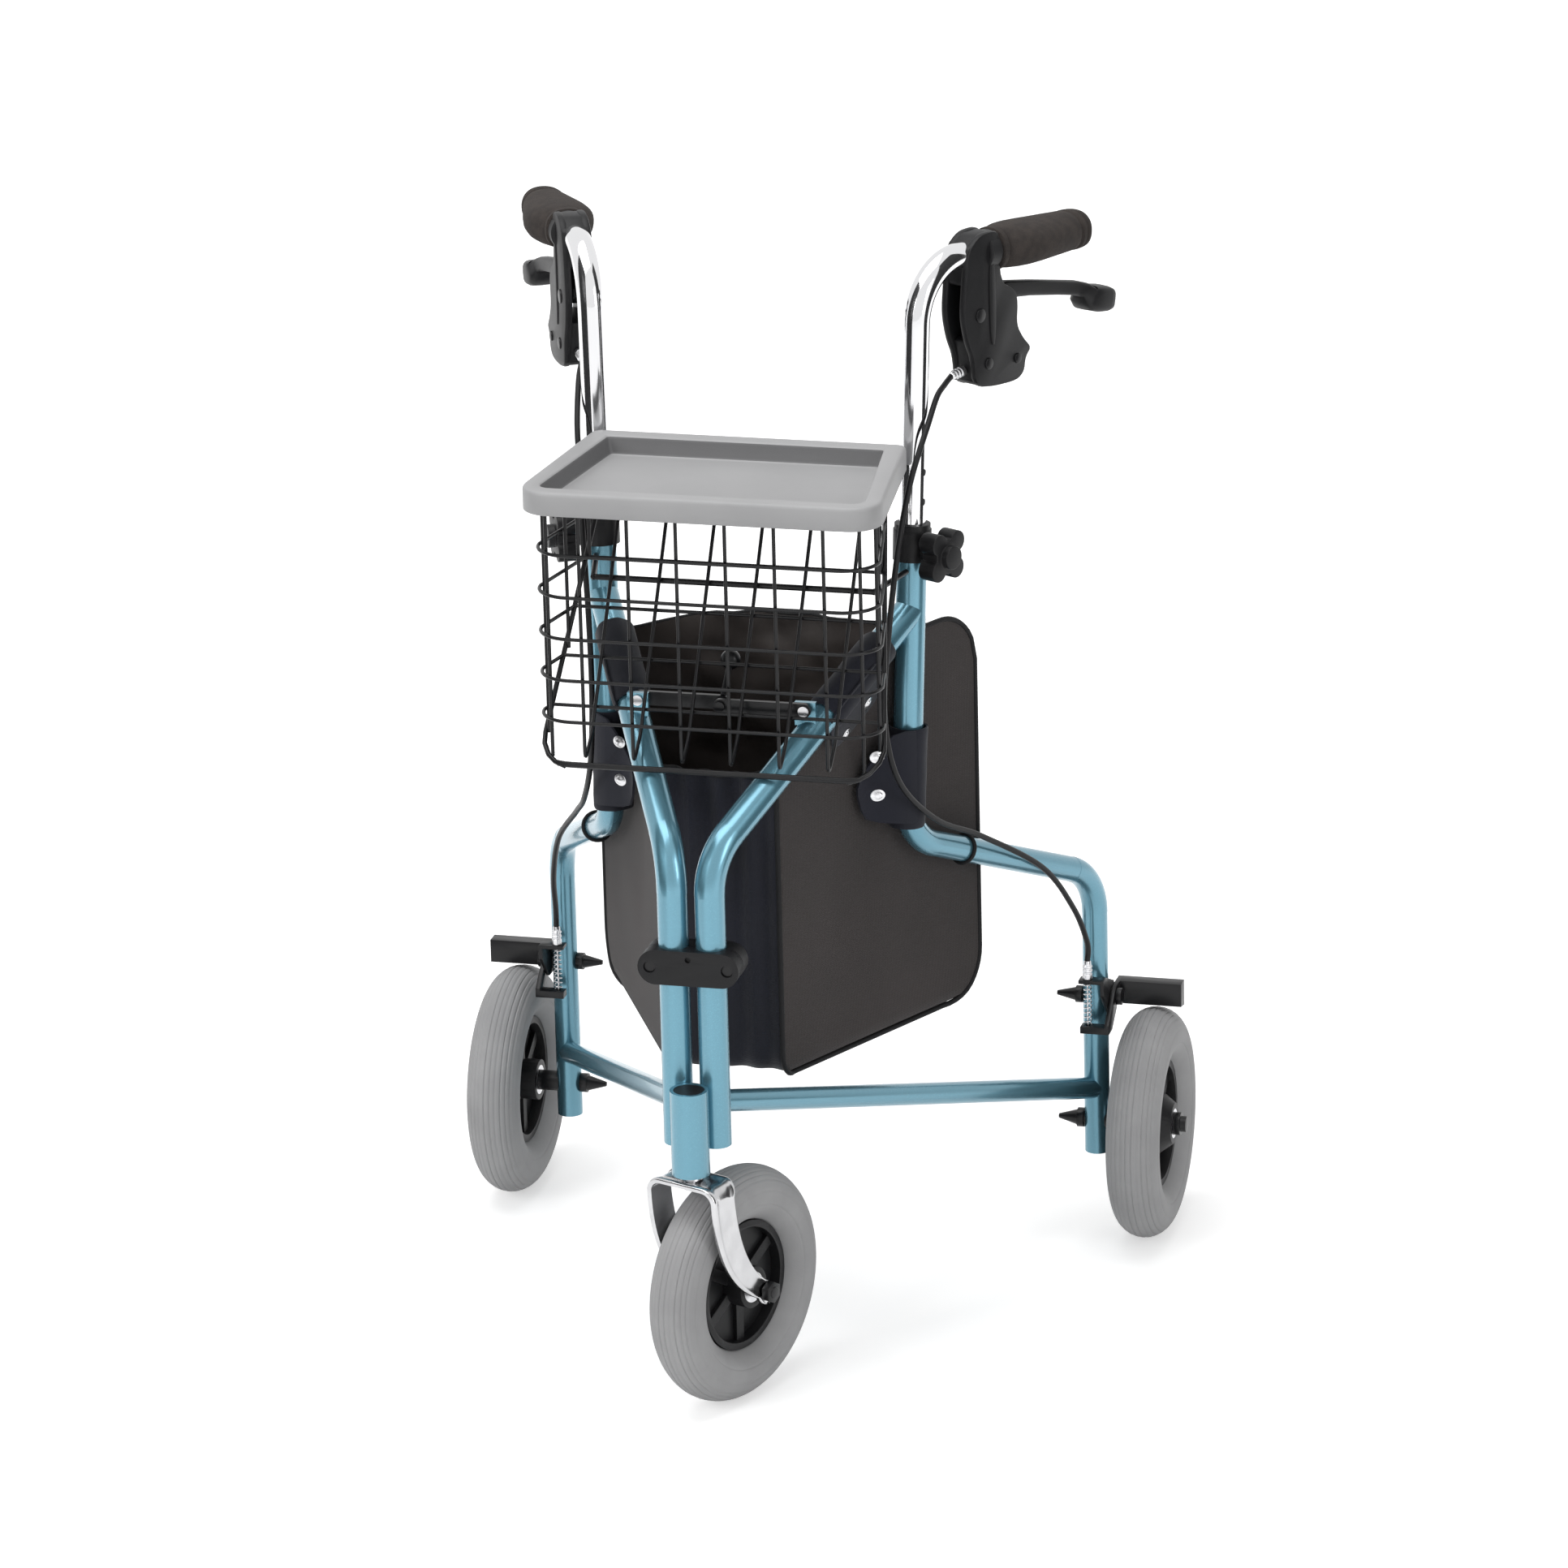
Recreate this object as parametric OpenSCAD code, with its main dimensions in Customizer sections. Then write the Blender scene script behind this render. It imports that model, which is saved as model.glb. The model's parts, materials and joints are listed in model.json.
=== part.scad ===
// Three wheel rollator. Two tube side frames open like a V behind a caster head, and carry
// sliding handles with brakes, two rear wheels, a fold bar, a wire basket, a tray and a bag.
// Row frame: millimetres, +Z up, the caster in front at -Y, the ground at Z = 0.

/* [Side frames] */
// Angle of each opened side frame from straight back
open_angle = 26.5; // [25:0.5:28]
// Half spacing of the two front tubes
hinge_half = 16; // [15.6:0.1:17]
// Outside diameter of front tubes and uprights
frame_tube_d = 25.4; // [25:0.1:25.8]
// Wall of the frame tubes
frame_wall = 1.5; // [1.2:0.1:1.7]
// Outside diameter of the low cross tubes
cross_tube_d = 19; // [16:0.5:21]
// Centre line radius of the frame bends
bend_r = 52; // [48:1:56]
// Height of the front tube's lower end
front_tube_low = 236; // [232:1:238]
// Height where the diagonal leaves the front tube
diag_foot = 486; // [482:1:490]
// Slope of the diagonal in degrees
diag_rise = 29.5; // [28.5:0.5:30]
// Distance from the hinge back to the upright's foot
foot_d = 251; // [246:1:256]
// Height of the upright's foot
foot_z = 434; // [428:1:440]
// Backward lean of the upright in degrees
upright_lean = 3.5; // [3:0.5:4]
// Length of the upright above its foot
upright_len = 270; // [264:1:276]
// Distance from the hinge back to the rear leg
leg_d = 503; // [490:1:515]
// Fall of the rear arm in degrees
arm_drop = 22.5; // [20:0.5:24]
// Height of the rear leg's lower end
leg_low = 72; // [66:1:76]
// Height of the cross tube at the front tube
cross_front_z = 274; // [270:1:280]
// Height of the cross tube at the rear leg
cross_rear_z = 130; // [128:1:140]

/* [Wheels and caster] */
// Radius of every wheel
wheel_r = 101.5; // [100:0.5:102.5]
// Radius of the tyre's round section
tyre_r = 23.5; // [22:0.5:24]
// Radius of the wheel's rim
rim_r = 56; // [54:0.5:58]
// Diameter of the axles
axle_d = 10; // [8:0.5:11]
// Distance from the rear leg's axis out to the wheel's middle plane
wheel_out = 48; // [46:0.5:50]
// Outside diameter of the head tube
head_d = 32; // [30:0.5:34]
// Height of the head tube's lower end
head_low = 218; // [216:1:220]
// Length of the head tube
head_len = 74; // [70:1:78]
// Distance of the caster axle behind the stem
trail = 54; // [50:1:58]
// Turn of the caster about its stem, to the photographed place
caster_turn = 22; // [0:1:40]

/* [Handles and brakes] */
// Height of the handle's corner above the upright's foot, along the upright
handle_corner = 495; // [480:1:510]
// Length of handle tube inside the upright
handle_inside = 128; // [120:1:134]
// Diameter of the height holes in the handle tube
hole_d = 6; // [5:0.5:7]
// Centre line radius of the handle's bend
handle_bend_r = 50; // [46:1:54]
// Downward slope of the grip in degrees
grip_drop = 4; // [2:0.5:6]
// Distance from the handle's corner to the grip
grip_start = 94; // [93:1:98]
// Length of the grip
grip_len = 118; // [110:1:122]
// Radius of the grip's foam
grip_r = 16.5; // [15:0.5:18]
// How far the grip's palm rest spreads to each side of its round
grip_wing = 13; // [8:0.5:15]
// Reach of the hand lever from its pin
lever_reach = 184; // [178:1:190]
// Width of the brake housing
housing_w = 26; // [24:0.5:30]
// Diameter of the brake cables
cable_d = 5; // [4:0.1:5.4]
// Height of the brake arm's pivot bolt
brake_z = 217; // [216:0.5:219]
// Open gap between brake shoe and tyre
shoe_gap = 3.2; // [2.6:0.1:3.6]

/* [Fold bar] */
// Distance from the hinge back to the fold bar's end bolts
link_d = 125; // [123:0.5:127]
// Height of the fold bar above the diagonal's axis
link_lift = 25.8; // [25.3:0.1:26.3]
// Height of each flat link
link_h = 12; // [10:0.5:12]

/* [Basket, tray and bag] */
// Height of the tray's rim
tray_z = 780; // [775:1:790]
// Depth of the tray's skirt
tray_skirt = 20; // [20:1:26]
// Distance from the hinge back to the tray's front edge
tray_front = 45; // [40:1:50]
// Distance from the hinge back to the tray's rear edge
tray_rear = 229; // [224:1:230]
// Half width of the tray in front
tray_front_half = 155; // [152:1:158]
// Half width of the tray at its rear edge
tray_rear_half = 135; // [128:1:136]
// Thickness of the basket's wire
wire_d = 3; // [2.4:0.1:3.4]
// Distance from the hinge back to the basket's front panel
basket_front_y = 55; // [53:1:60]
// Half width of the basket
basket_half = 144; // [136:1:144]
// Space between the bag's side and its frame's middle plane
bag_off = 13; // [13:0.5:18]
// Distance from the hinge back to the bag's front wall
bag_front = 100; // [96:1:106]
// Distance from the hinge back to the bag's rear wall
bag_rear = 368; // [350:1:372]
// Height of the bag's floor
bag_low = 259; // [258:1:270]
// Height of the bag's mouth
bag_top = 608; // [590:1:612]

/* [Hidden] */
$fn = 64;
touch = 0.3;
run_fit = 0.05;
slide_fit = 0.1;
weld_gap = 0.1;
bend_lap = 0.4;
bend_skin = 0.15;

bore_d = frame_tube_d - 2 * frame_wall;
leg_tube_d = bore_d - 0.2;
handle_d = bore_d - 2 * slide_fit;
head_wall = 3;
tyre_ring = wheel_r - tyre_r;
stem_y = -sqrt(pow((head_d + frame_tube_d) / 2 + 0.5, 2) - pow(hinge_half, 2));
leg_x = hinge_half + leg_d * sin(open_angle);
leg_y = leg_d * cos(open_angle);
front_reach = stem_y + trail * cos(caster_turn) - tyre_ring * cos(caster_turn) - tyre_r;
centre_y = (leg_y + wheel_r + front_reach) / 2;

diag_end_d = (foot_d + (diag_foot - foot_z) * tan(upright_lean))
    / (1 - tan(diag_rise) * tan(upright_lean));
diag_end = [diag_end_d, diag_foot + diag_end_d * tan(diag_rise)];
link_z = diag_foot + link_d * tan(diag_rise) + link_lift;
knee = [leg_d, foot_z - (leg_d - foot_d) * tan(arm_drop)];
leg_plug_in = 72;
corner = [foot_d + handle_corner * sin(upright_lean), foot_z + handle_corner * cos(upright_lean)];
handle_low = upright_len - handle_inside;

paint = "lightblue";
plastic = "dimgray";
chrome = "gainsboro";
tyre_grey = "darkgray";

// Frames of reference

module on_centre() {
    translate([0, -centre_y, 0]) children();
}

// Right side frame: X outwards, Y back along the frame, Z up
module right_frame() {
    translate([hinge_half, -centre_y, 0]) rotate([0, 0, -open_angle]) children();
}

module on_side(s) {
    if (s > 0) right_frame() children();
    else mirror([1, 0, 0]) right_frame() children();
}

// On the rear leg's axis, with X and Y along the row
module on_leg(s, z) {
    on_side(s) translate([0, leg_d, z]) rotate([0, 0, open_angle]) children();
}

// Along the upright, Z up its axis
module on_upright(s, u) {
    on_side(s) translate([0, foot_d, foot_z]) rotate([-upright_lean, 0, 0]) translate([0, 0, u]) children();
}

// Along the grip, Z towards its end and Y down
module on_grip(s, t) {
    on_side(s) translate([0, corner[0], corner[1]]) rotate([-90 - grip_drop, 0, 0])
        translate([0, 0, t]) children();
}

// On the fold bar's end bolt, with X and Y along the row
module on_link(s) {
    on_side(s) translate([0, link_d, link_z]) rotate([0, 0, open_angle]) children();
}

// On the caster's stem axis, Y towards its axle
module on_fork() {
    translate([0, stem_y - centre_y, 0]) rotate([0, 0, -caster_turn]) children();
}

// Shared shapes

function turn_of(u, v) = atan2(u[0] * v[1] - u[1] * v[0], u * v);
function unit(v) = v / norm(v);

// Straight rod between two points of the YZ plane
module rod_yz(a, b, r) {
    way = b - a;
    translate([0, a[0], a[1]]) rotate([-atan2(way[0], way[1]), 0, 0]) cylinder(r = r, h = norm(way));
}

// Round bend at point p of the YZ plane, from direction u to direction v
module bend_yz(p, u, v, r, wall, big_r) {
    turn = turn_of(u, v);
    side = turn > 0 ? 1 : -1;
    start = p - u * big_r * tan(abs(turn) / 2);
    left = [-u[1], u[0]];
    mid = start + left * side * big_r;
    from = atan2(-side * left[1], -side * left[0]);
    translate([0, mid[0], mid[1]]) rotate([90, 0, 90]) rotate([0, 0, turn > 0 ? from : from + turn])
        rotate_extrude(angle = abs(turn)) translate([big_r, 0]) difference() {
            circle(r + bend_skin);
            if (wall < r) circle(r - wall - bend_skin);
        }
}

// Where the straight lines end at point i: a little inside the bend, whose wall is a little thicker
function bend_cut(pts, i, big_r) = i == 0 || i == len(pts) - 1 ? 0
    : big_r * tan(abs(turn_of(unit(pts[i] - pts[i - 1]), unit(pts[i + 1] - pts[i]))) / 2) - bend_lap;

// Straight stretch i of a bent line, as a solid rod of radius r
module rod_straight(pts, i, r, big_r) {
    way = unit(pts[i + 1] - pts[i]);
    rod_yz(pts[i] + way * bend_cut(pts, i, big_r), pts[i + 1] - way * bend_cut(pts, i + 1, big_r), r);
}

// Straight stretch i of a hollow bent tube
module tube_straight(pts, i, d, wall, big_r) {
    way = unit(pts[i + 1] - pts[i]);
    a = pts[i] + way * bend_cut(pts, i, big_r);
    b = pts[i + 1] - way * bend_cut(pts, i + 1, big_r);
    translate([0, a[0], a[1]]) rotate([-atan2(way[0], way[1]), 0, 0]) ring(d, d - 2 * wall, norm(b - a));
}

// Bend at point i of a bent tube; a wall of half d makes it solid
module tube_bend(pts, i, d, wall, big_r) {
    bend_yz(pts[i], unit(pts[i] - pts[i - 1]), unit(pts[i + 1] - pts[i]), d / 2, wall, big_r);
}

// Solid rod along a bent line
module bent_rod(pts, r, big_r) {
    for (i = [0 : len(pts) - 2]) rod_straight(pts, i, r, big_r);
    for (i = [1 : len(pts) - 2]) tube_bend(pts, i, 2 * r, r, big_r);
}

// Hollow tube along a bent line, open at both ends
module bent_tube(pts, d, wall, big_r) {
    for (i = [0 : len(pts) - 2]) tube_straight(pts, i, d, wall, big_r);
    for (i = [1 : len(pts) - 2]) tube_bend(pts, i, d, wall, big_r);
}

module x_rod(x0, x1, d) {
    translate([x0, 0, 0]) rotate([0, 90, 0]) cylinder(d = d, h = x1 - x0);
}

module y_rod(y0, y1, d) {
    translate([0, y0, 0]) rotate([-90, 0, 0]) cylinder(d = d, h = y1 - y0);
}

module ring(d, bore, h) {
    difference() {
        cylinder(d = d, h = h);
        translate([0, 0, -1]) cylinder(d = bore, h = h + 2);
    }
}

// Flat plate drawn in the YZ plane, from x0 to x1
module plate_yz(x0, x1) {
    translate([x0, 0, 0]) rotate([90, 0, 90]) linear_extrude(x1 - x0) children();
}

// Closed tube through rings set square to a list of points
module sweep(path, r, sides) {
    last = len(path) - 1;
    rings = [for (i = [0 : last])
        let (along = unit(path[min(i + 1, last)] - path[max(i - 1, 0)]))
        let (out = unit([1, 0, 0] - along * along[0]))
        let (over = cross(along, out))
        for (k = [0 : sides - 1])
            path[i] + r * (out * cos(360 * k / sides) + over * sin(360 * k / sides))];
    walls = [for (i = [0 : last - 1], k = [0 : sides - 1])
        let (a = i * sides + k)
        let (b = i * sides + (k + 1) % sides)
        each [[a, a + sides, b], [b, a + sides, b + sides]]];
    first_end = [for (k = [0 : sides - 1]) k];
    last_end = [for (k = [sides - 1 : -1 : 0]) last * sides + k];
    polyhedron(rings, concat([first_end], walls, [last_end]));
}

// Smooth line through hand-set points, steps to a stretch
function smooth_at(p, i, t) =
    let (a = p[max(i - 1, 0)])
    let (b = p[i])
    let (c = p[i + 1])
    let (d = p[min(i + 2, len(p) - 1)])
    0.5 * (2 * b + (c - a) * t + (2 * a - 5 * b + 4 * c - d) * t * t + (3 * b - a - 3 * c + d) * t * t * t);
function smooth(p, steps) = [
    for (i = [0 : len(p) - 2], k = [0 : steps - 1]) smooth_at(p, i, k / steps),
    p[len(p) - 1]
];

// Head with the caster

lug_low = front_tube_low + 14;
lug_h = 24;
lug_t = 6;
pin_d = bore_d - 2 * slide_fit;
lug_angle = atan2(stem_y, -hinge_half);
fold_travel = 21.5;

module head_tube() {
    color(paint) on_centre() translate([0, stem_y, head_low]) ring(head_d, head_d - 2 * head_wall, head_len);
}

// Two pins that the front tubes turn on, each on an arm from the head tube
module hinge_lugs() {
    color(paint) on_centre() for (s = [-1, 1]) mirror([s < 0 ? 1 : 0, 0, 0]) difference() {
        translate([hinge_half, 0, 0]) union() {
            translate([0, 0, lug_low - 10]) cylinder(d = pin_d, h = lug_h + 20);
            rotate([0, 0, lug_angle]) translate([0, -lug_t / 2, lug_low])
                cube([head_d / 2 + frame_tube_d / 2, lug_t, lug_h]);
        }
        translate([0, stem_y, head_low]) cylinder(d = head_d, h = head_len + 1);
    }
}

stem_d = 12;
bearing_h = 9;
plug_t = 4;
stem_top = head_low + head_len - plug_t - 4;

module headset_bearings() {
    color(chrome) on_centre() for (z = [head_low + 1, stem_top - bearing_h - 5])
        translate([0, stem_y, z]) ring(head_d - 2 * head_wall, stem_d + 2 * run_fit, bearing_h);
}

// Plug in the head tube's open top
module head_cap() {
    color("black") on_centre() translate([0, stem_y, head_low + head_len - plug_t - 0.5])
        cylinder(d = head_d - 2 * head_wall, h = plug_t);
}

bracket_z = 395;
bracket_h = 30;
bracket_half = 43;
bracket_deep = 16.5;
bracket_bolt_x = 33;

// One half of the plastic clamp that both front tubes turn in
module bracket_half_shape(side) {
    difference() {
        intersection() {
            union() {
                for (x = [-1, 1]) translate([x * (bracket_half - bracket_h / 2), 0, 0])
                    y_rod(-bracket_deep, bracket_deep, bracket_h);
                translate([-bracket_half + bracket_h / 2, -bracket_deep, -bracket_h / 2])
                    cube([2 * bracket_half - bracket_h, 2 * bracket_deep, bracket_h]);
            }
            translate([-bracket_half, side > 0 ? touch / 2 : -bracket_deep, -bracket_h])
                cube([2 * bracket_half, bracket_deep - touch / 2, 2 * bracket_h]);
        }
        for (x = [-1, 1]) translate([x * hinge_half, 0, -bracket_h])
            cylinder(d = frame_tube_d + 2 * slide_fit, h = 2 * bracket_h);
        for (x = [-1, 1]) translate([x * bracket_bolt_x, 0, 0]) {
            y_rod(-bracket_deep - 1, bracket_deep + 1, 5);
            y_rod(-bracket_deep - 1, -bracket_deep + 6, 10);
            y_rod(bracket_deep - 6, bracket_deep + 1, 10);
        }
        translate([0, 0, 8]) y_rod(-bracket_deep - 1, -bracket_deep + 3, 5);
    }
}

module hinge_bracket_front() {
    color(plastic) on_centre() translate([0, 0, bracket_z]) bracket_half_shape(-1);
}

module hinge_bracket_rear() {
    color(plastic) on_centre() translate([0, 0, bracket_z]) bracket_half_shape(1);
}

module hinge_bracket_bolts() {
    color(chrome) on_centre() for (x = [-1, 1]) translate([x * bracket_bolt_x, 0, bracket_z]) {
        y_rod(-bracket_deep + 2, bracket_deep - 2, 5);
        y_rod(-bracket_deep + 2, -bracket_deep + 6, 9);
        y_rod(bracket_deep - 6, bracket_deep - 2, 9);
    }
}

fork_top = head_low - 4;
fork_wall = 6;
fork_in = tyre_r + 6;
fork_out = fork_in + fork_wall;
fork_boss_r = 11.5;

function curve(a, b, c, steps) = [for (k = [0 : steps])
    let (t = k / steps)
    a * pow(1 - t, 2) + b * 2 * t * (1 - t) + c * t * t];

// Leg outline seen from the side, swept back from the crown to the axle
function fork_leg() = concat(
    curve([-16, fork_top - 4], [-16, wheel_r + 27], [trail - fork_boss_r, wheel_r - 3], 8),
    curve([trail + fork_boss_r, wheel_r + 3], [17, wheel_r + 27], [12, fork_top - 4], 8));

module caster_fork() {
    color(chrome) on_fork() difference() {
        union() {
            translate([-fork_out, -17, fork_top - 10]) cube([2 * fork_out, 36, 10]);
            for (s = [-1, 1]) translate([s * (fork_in + fork_wall / 2), 0, 0]) {
                plate_yz(-fork_wall / 2, fork_wall / 2) polygon(fork_leg());
                translate([0, trail, wheel_r]) x_rod(-fork_wall / 2, fork_wall / 2, 2 * fork_boss_r);
            }
        }
        translate([0, 0, fork_top - 20]) cylinder(d = stem_d, h = 30);
        translate([0, trail, wheel_r]) x_rod(-fork_out - 1, fork_out + 1, axle_d);
    }
}

module fork_stem() {
    color(chrome) on_fork() {
        translate([0, 0, fork_top - 10]) cylinder(d = stem_d, h = stem_top - fork_top + 10);
        translate([0, 0, fork_top]) ring(stem_d + 8, stem_d, head_low + 1 - fork_top - touch);
        translate([0, 0, stem_top - 5 + touch]) ring(19, stem_d, 5 - touch);
    }
}

module front_axle() {
    color(chrome) on_fork() translate([0, trail, wheel_r]) {
        x_rod(-fork_out - 8, fork_out + 8, axle_d);
        for (s = [-1, 1]) rotate([0, 90, 0]) translate([0, 0, s > 0 ? fork_out : -fork_out - 7])
            cylinder(d = 19, h = 7, $fn = 6);
        for (s = [-1, 1]) rotate([0, 90, 0])
            translate([0, 0, s > 0 ? hub_half + touch : -fork_in])
            ring(axle_d + 6, axle_d, fork_in - hub_half - touch);
    }
}

// Wheels

hub_half = 21;
hub_r = 18;
rim_half = 12;
bearing_d = 26;
spokes = 6;

// Round tyre on a flat rim bed, with ribs round its tread
module tyre() {
    rotate([0, 90, 0]) rotate_extrude() difference() {
        translate([tyre_ring, 0]) circle(tyre_r);
        translate([0, -rim_half]) square([rim_r, 2 * rim_half]);
        for (k = [-4 : 4]) rotate_rib(k * 15);
    }
}

module rotate_rib(angle) {
    translate([tyre_ring, 0]) rotate(angle) translate([tyre_r, 0]) circle(0.9, $fn = 16);
}

// Rim, hub and spokes in one moulding; cone is how far the hub swells on the outside
module rim(cone) {
    difference() {
        union() {
            rotate([0, 90, 0]) translate([0, 0, -rim_half]) ring(2 * rim_r, 2 * rim_r - 12, 2 * rim_half);
            x_rod(-hub_half, hub_half, 2 * hub_r);
            for (k = [0 : spokes - 1]) rotate([360 * k / spokes, 0, 0])
                translate([-6, -5, hub_r - 2]) cube([12, 10, rim_r - hub_r - 2]);
            if (cone > 0) rotate([0, 90, 0]) cylinder(r1 = hub_r + 16, r2 = hub_r, h = cone);
        }
        x_rod(-hub_half - 1, hub_half + 1, axle_d + 4);
        for (x = [-hub_half - 1, hub_half - 8]) x_rod_at(x, 9, bearing_d);
    }
}

module x_rod_at(x, long, d) {
    x_rod(x, x + long, d);
}

module wheel_bearings() {
    for (x = [-hub_half, hub_half - 8]) rotate([0, 90, 0]) translate([0, 0, x])
        ring(bearing_d, axle_d + 2 * run_fit, 8);
}

module on_front_wheel() {
    on_fork() translate([0, trail, wheel_r]) children();
}

module on_rear_wheel(s) {
    on_leg(s, wheel_r) translate([wheel_out, 0, 0]) children();
}

module front_tyre() {
    color(tyre_grey) on_front_wheel() tyre();
}

module front_rim() {
    color("black") on_front_wheel() rim(0);
}

module front_bearings() {
    color(chrome) on_front_wheel() wheel_bearings();
}

module rear_tyre(s) {
    color(tyre_grey) on_rear_wheel(s) tyre();
}

module rear_rim(s) {
    color("black") on_rear_wheel(s) rim(hub_half);
}

module rear_bearings(s) {
    color(chrome) on_rear_wheel(s) wheel_bearings();
}

// Side frames

module upright_solid(d, from, to) {
    translate([0, foot_d, foot_z]) rotate([-upright_lean, 0, 0]) translate([0, 0, from])
        cylinder(d = d, h = to - from);
}

tab_t = 5;

module diag_solid(d) {
    rod_yz([0, diag_foot], diag_end, d / 2);
}

front_line = [[0, front_tube_low], [0, diag_foot], diag_end];

// Front tube, bent back into the diagonal, with the fold bar's welded tab
module front_tube(s) {
    color(paint) on_side(s) {
        difference() {
            tube_straight(front_line, 0, frame_tube_d, frame_wall, bend_r);
            rotate([0, 0, lug_angle + open_angle - fold_travel - 18])
                rotate_extrude(angle = fold_travel + 36) translate([frame_tube_d / 4, lug_low - 1])
                square([frame_tube_d, lug_h + 2]);
        }
        tube_bend(front_line, 1, frame_tube_d, frame_wall, bend_r);
        difference() {
            tube_straight(front_line, 1, frame_tube_d, frame_wall, bend_r);
            upright_solid(frame_tube_d + 2 * weld_gap, 0, upright_len);
        }
        difference() {
            translate([0, link_d, link_z]) rotate([0, 0, open_angle]) difference() {
                translate([-9, 0, -14]) cube([18, tab_t, 14 + link_h / 2]);
                y_rod(-1, tab_t + 1, 6);
            }
            diag_solid(frame_tube_d - 1);
        }
    }
}

upright_low = 44;

module upright(s) {
    color(paint) on_upright(s, 0) difference() {
        translate([0, 0, upright_low]) ring(frame_tube_d, bore_d, upright_len - upright_low);
        translate([0, 0, knob_u]) x_rod(0, frame_tube_d, knob_stud_d + stud_fit);
    }
}

leg_line = [
    [foot_d + leg_plug_in * sin(upright_lean), foot_z + leg_plug_in * cos(upright_lean)],
    [foot_d, foot_z], knee, [leg_d, leg_low]];

// Rear arm and leg in one bent tube, plugged into the upright
module rear_leg(s) {
    color(paint) on_side(s) {
        for (i = [0, 1]) tube_straight(leg_line, i, leg_tube_d, frame_wall, bend_r);
        for (i = [1, 2]) tube_bend(leg_line, i, leg_tube_d, frame_wall, bend_r);
        difference() {
            tube_straight(leg_line, 2, leg_tube_d, frame_wall, bend_r);
            for (z = [wheel_r, brake_z]) translate([0, leg_d, z]) rotate([0, 0, open_angle])
                x_rod(-leg_tube_d, leg_tube_d, z == wheel_r ? axle_d : brake_bolt_d);
        }
    }
}

module cross_tube(s) {
    color(paint) on_side(s) difference() {
        bent_tube([[0, cross_front_z], [leg_d, cross_rear_z]], cross_tube_d, frame_wall, bend_r);
        translate([0, 0, front_tube_low - 1]) cylinder(d = frame_tube_d, h = 120);
        translate([0, leg_d, leg_low]) cylinder(d = leg_tube_d, h = 160);
    }
}

collar_low = upright_len - 26;
collar_wall = 3.5;
knob_u = upright_len - 17;
knob_stud_d = 8;
stud_fit = 0.4;

module clamp_collar(s) {
    color(plastic) on_upright(s, collar_low) {
        difference() {
            ring(frame_tube_d + 2 * collar_wall, frame_tube_d, upright_len - collar_low);
            translate([0, 0, knob_u - collar_low]) x_rod(0, frame_tube_d, knob_stud_d + stud_fit);
        }
        translate([0, 0, upright_len - collar_low]) ring(frame_tube_d + 5, handle_d + 2 * slide_fit, 5);
    }
}

// Lobed hand knob on a stud that presses on the handle tube
module clamp_knob(s) {
    color("black") on_upright(s, knob_u) {
        x_rod(handle_d / 2 + touch, 22, knob_stud_d);
        x_rod(frame_tube_d / 2 + collar_wall + touch, 25, 20);
        rotate([0, 90, 0]) translate([0, 0, 24]) linear_extrude(16) union() {
            circle(15);
            for (k = [0 : 3]) rotate(90 * k + 45) translate([16, 0]) circle(9);
        }
        x_rod(40, 46, 20);
    }
}

// Rear brakes, on the rear leg with X and Y along the row

brake_bolt_d = 8;
brake_line = [-1, -28];
stop_z = 239;
stop_t = 3;
bracket_in = leg_tube_d / 2 + 0.2;
arm_in = bracket_in + 3 + touch;
arm_t = 4;

// Black steel cable stop, bolted to the leg by the brake's pivot bolt
module brake_bracket(s) {
    color("black") on_leg(s, 0) {
        difference() {
            union() {
                plate_yz(bracket_in, bracket_in + 3)
                    polygon([
                        [-34, stop_z + stop_t], [-34, stop_z - 10], [-12, 206], [10, 206], [10, 228],
                        [-22, stop_z + stop_t]]);
                translate([brake_line[0] - 7, -34, stop_z])
                    cube([bracket_in + 3 - brake_line[0] + 7, 12, stop_t]);
            }
            translate([brake_line[0], brake_line[1], stop_z - 1]) cylinder(d = 3, h = stop_t + 2);
            translate([0, 0, brake_z]) x_rod(0, 40, brake_bolt_d);
        }
        translate([0, 0, brake_z]) {
            x_rod(-leg_tube_d / 2 - 4, arm_in + arm_t + 5, brake_bolt_d);
            x_rod(arm_in + arm_t + touch, arm_in + arm_t + 5, 15);
            acorn(-leg_tube_d / 2 - 0.2, 15);
        }
    }
}

// Pointed cap nut on the inner side of a leg
module acorn(x, d) {
    translate([x, 0, 0]) rotate([0, -90, 0]) {
        cylinder(d = d, h = 6);
        translate([0, 0, 6]) cylinder(d1 = d - 3, d2 = 4, h = 17);
    }
}

arm_rear = 28;
shoe_deep = 14;
shoe_top = 226;
shoe_x = [wheel_out - 25, wheel_out + 25];

// Bell crank with the shoe that presses on the tyre
module brake_arm(s) {
    color("black") on_leg(s, 0) {
        difference() {
            union() {
                plate_yz(arm_in, arm_in + arm_t) polygon([
                    [-34, 201], [-34, 193], [-20, 193], [0, brake_z - 11], [arm_rear - 22, shoe_top - 12],
                    [arm_rear - 4, shoe_top - 8], [arm_rear - 4, shoe_top], [0, brake_z + 10],
                    [-10, brake_z + 4]]);
                translate([brake_line[0] - 6, -34, 193]) cube([arm_in + 6 - brake_line[0], 11, 6]);
                difference() {
                    translate([arm_in, arm_rear - shoe_deep, shoe_top - 40])
                        cube([shoe_x[1] - arm_in, shoe_deep, 40]);
                    translate([0, 0, wheel_r]) x_rod(0, 100, 2 * (wheel_r + shoe_gap));
                }
            }
            translate([0, 0, brake_z]) x_rod(0, 60, brake_bolt_d + 2 * run_fit);
            translate([brake_line[0], brake_line[1], 190]) cylinder(d = 4, h = 12);
        }
    }
}

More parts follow.
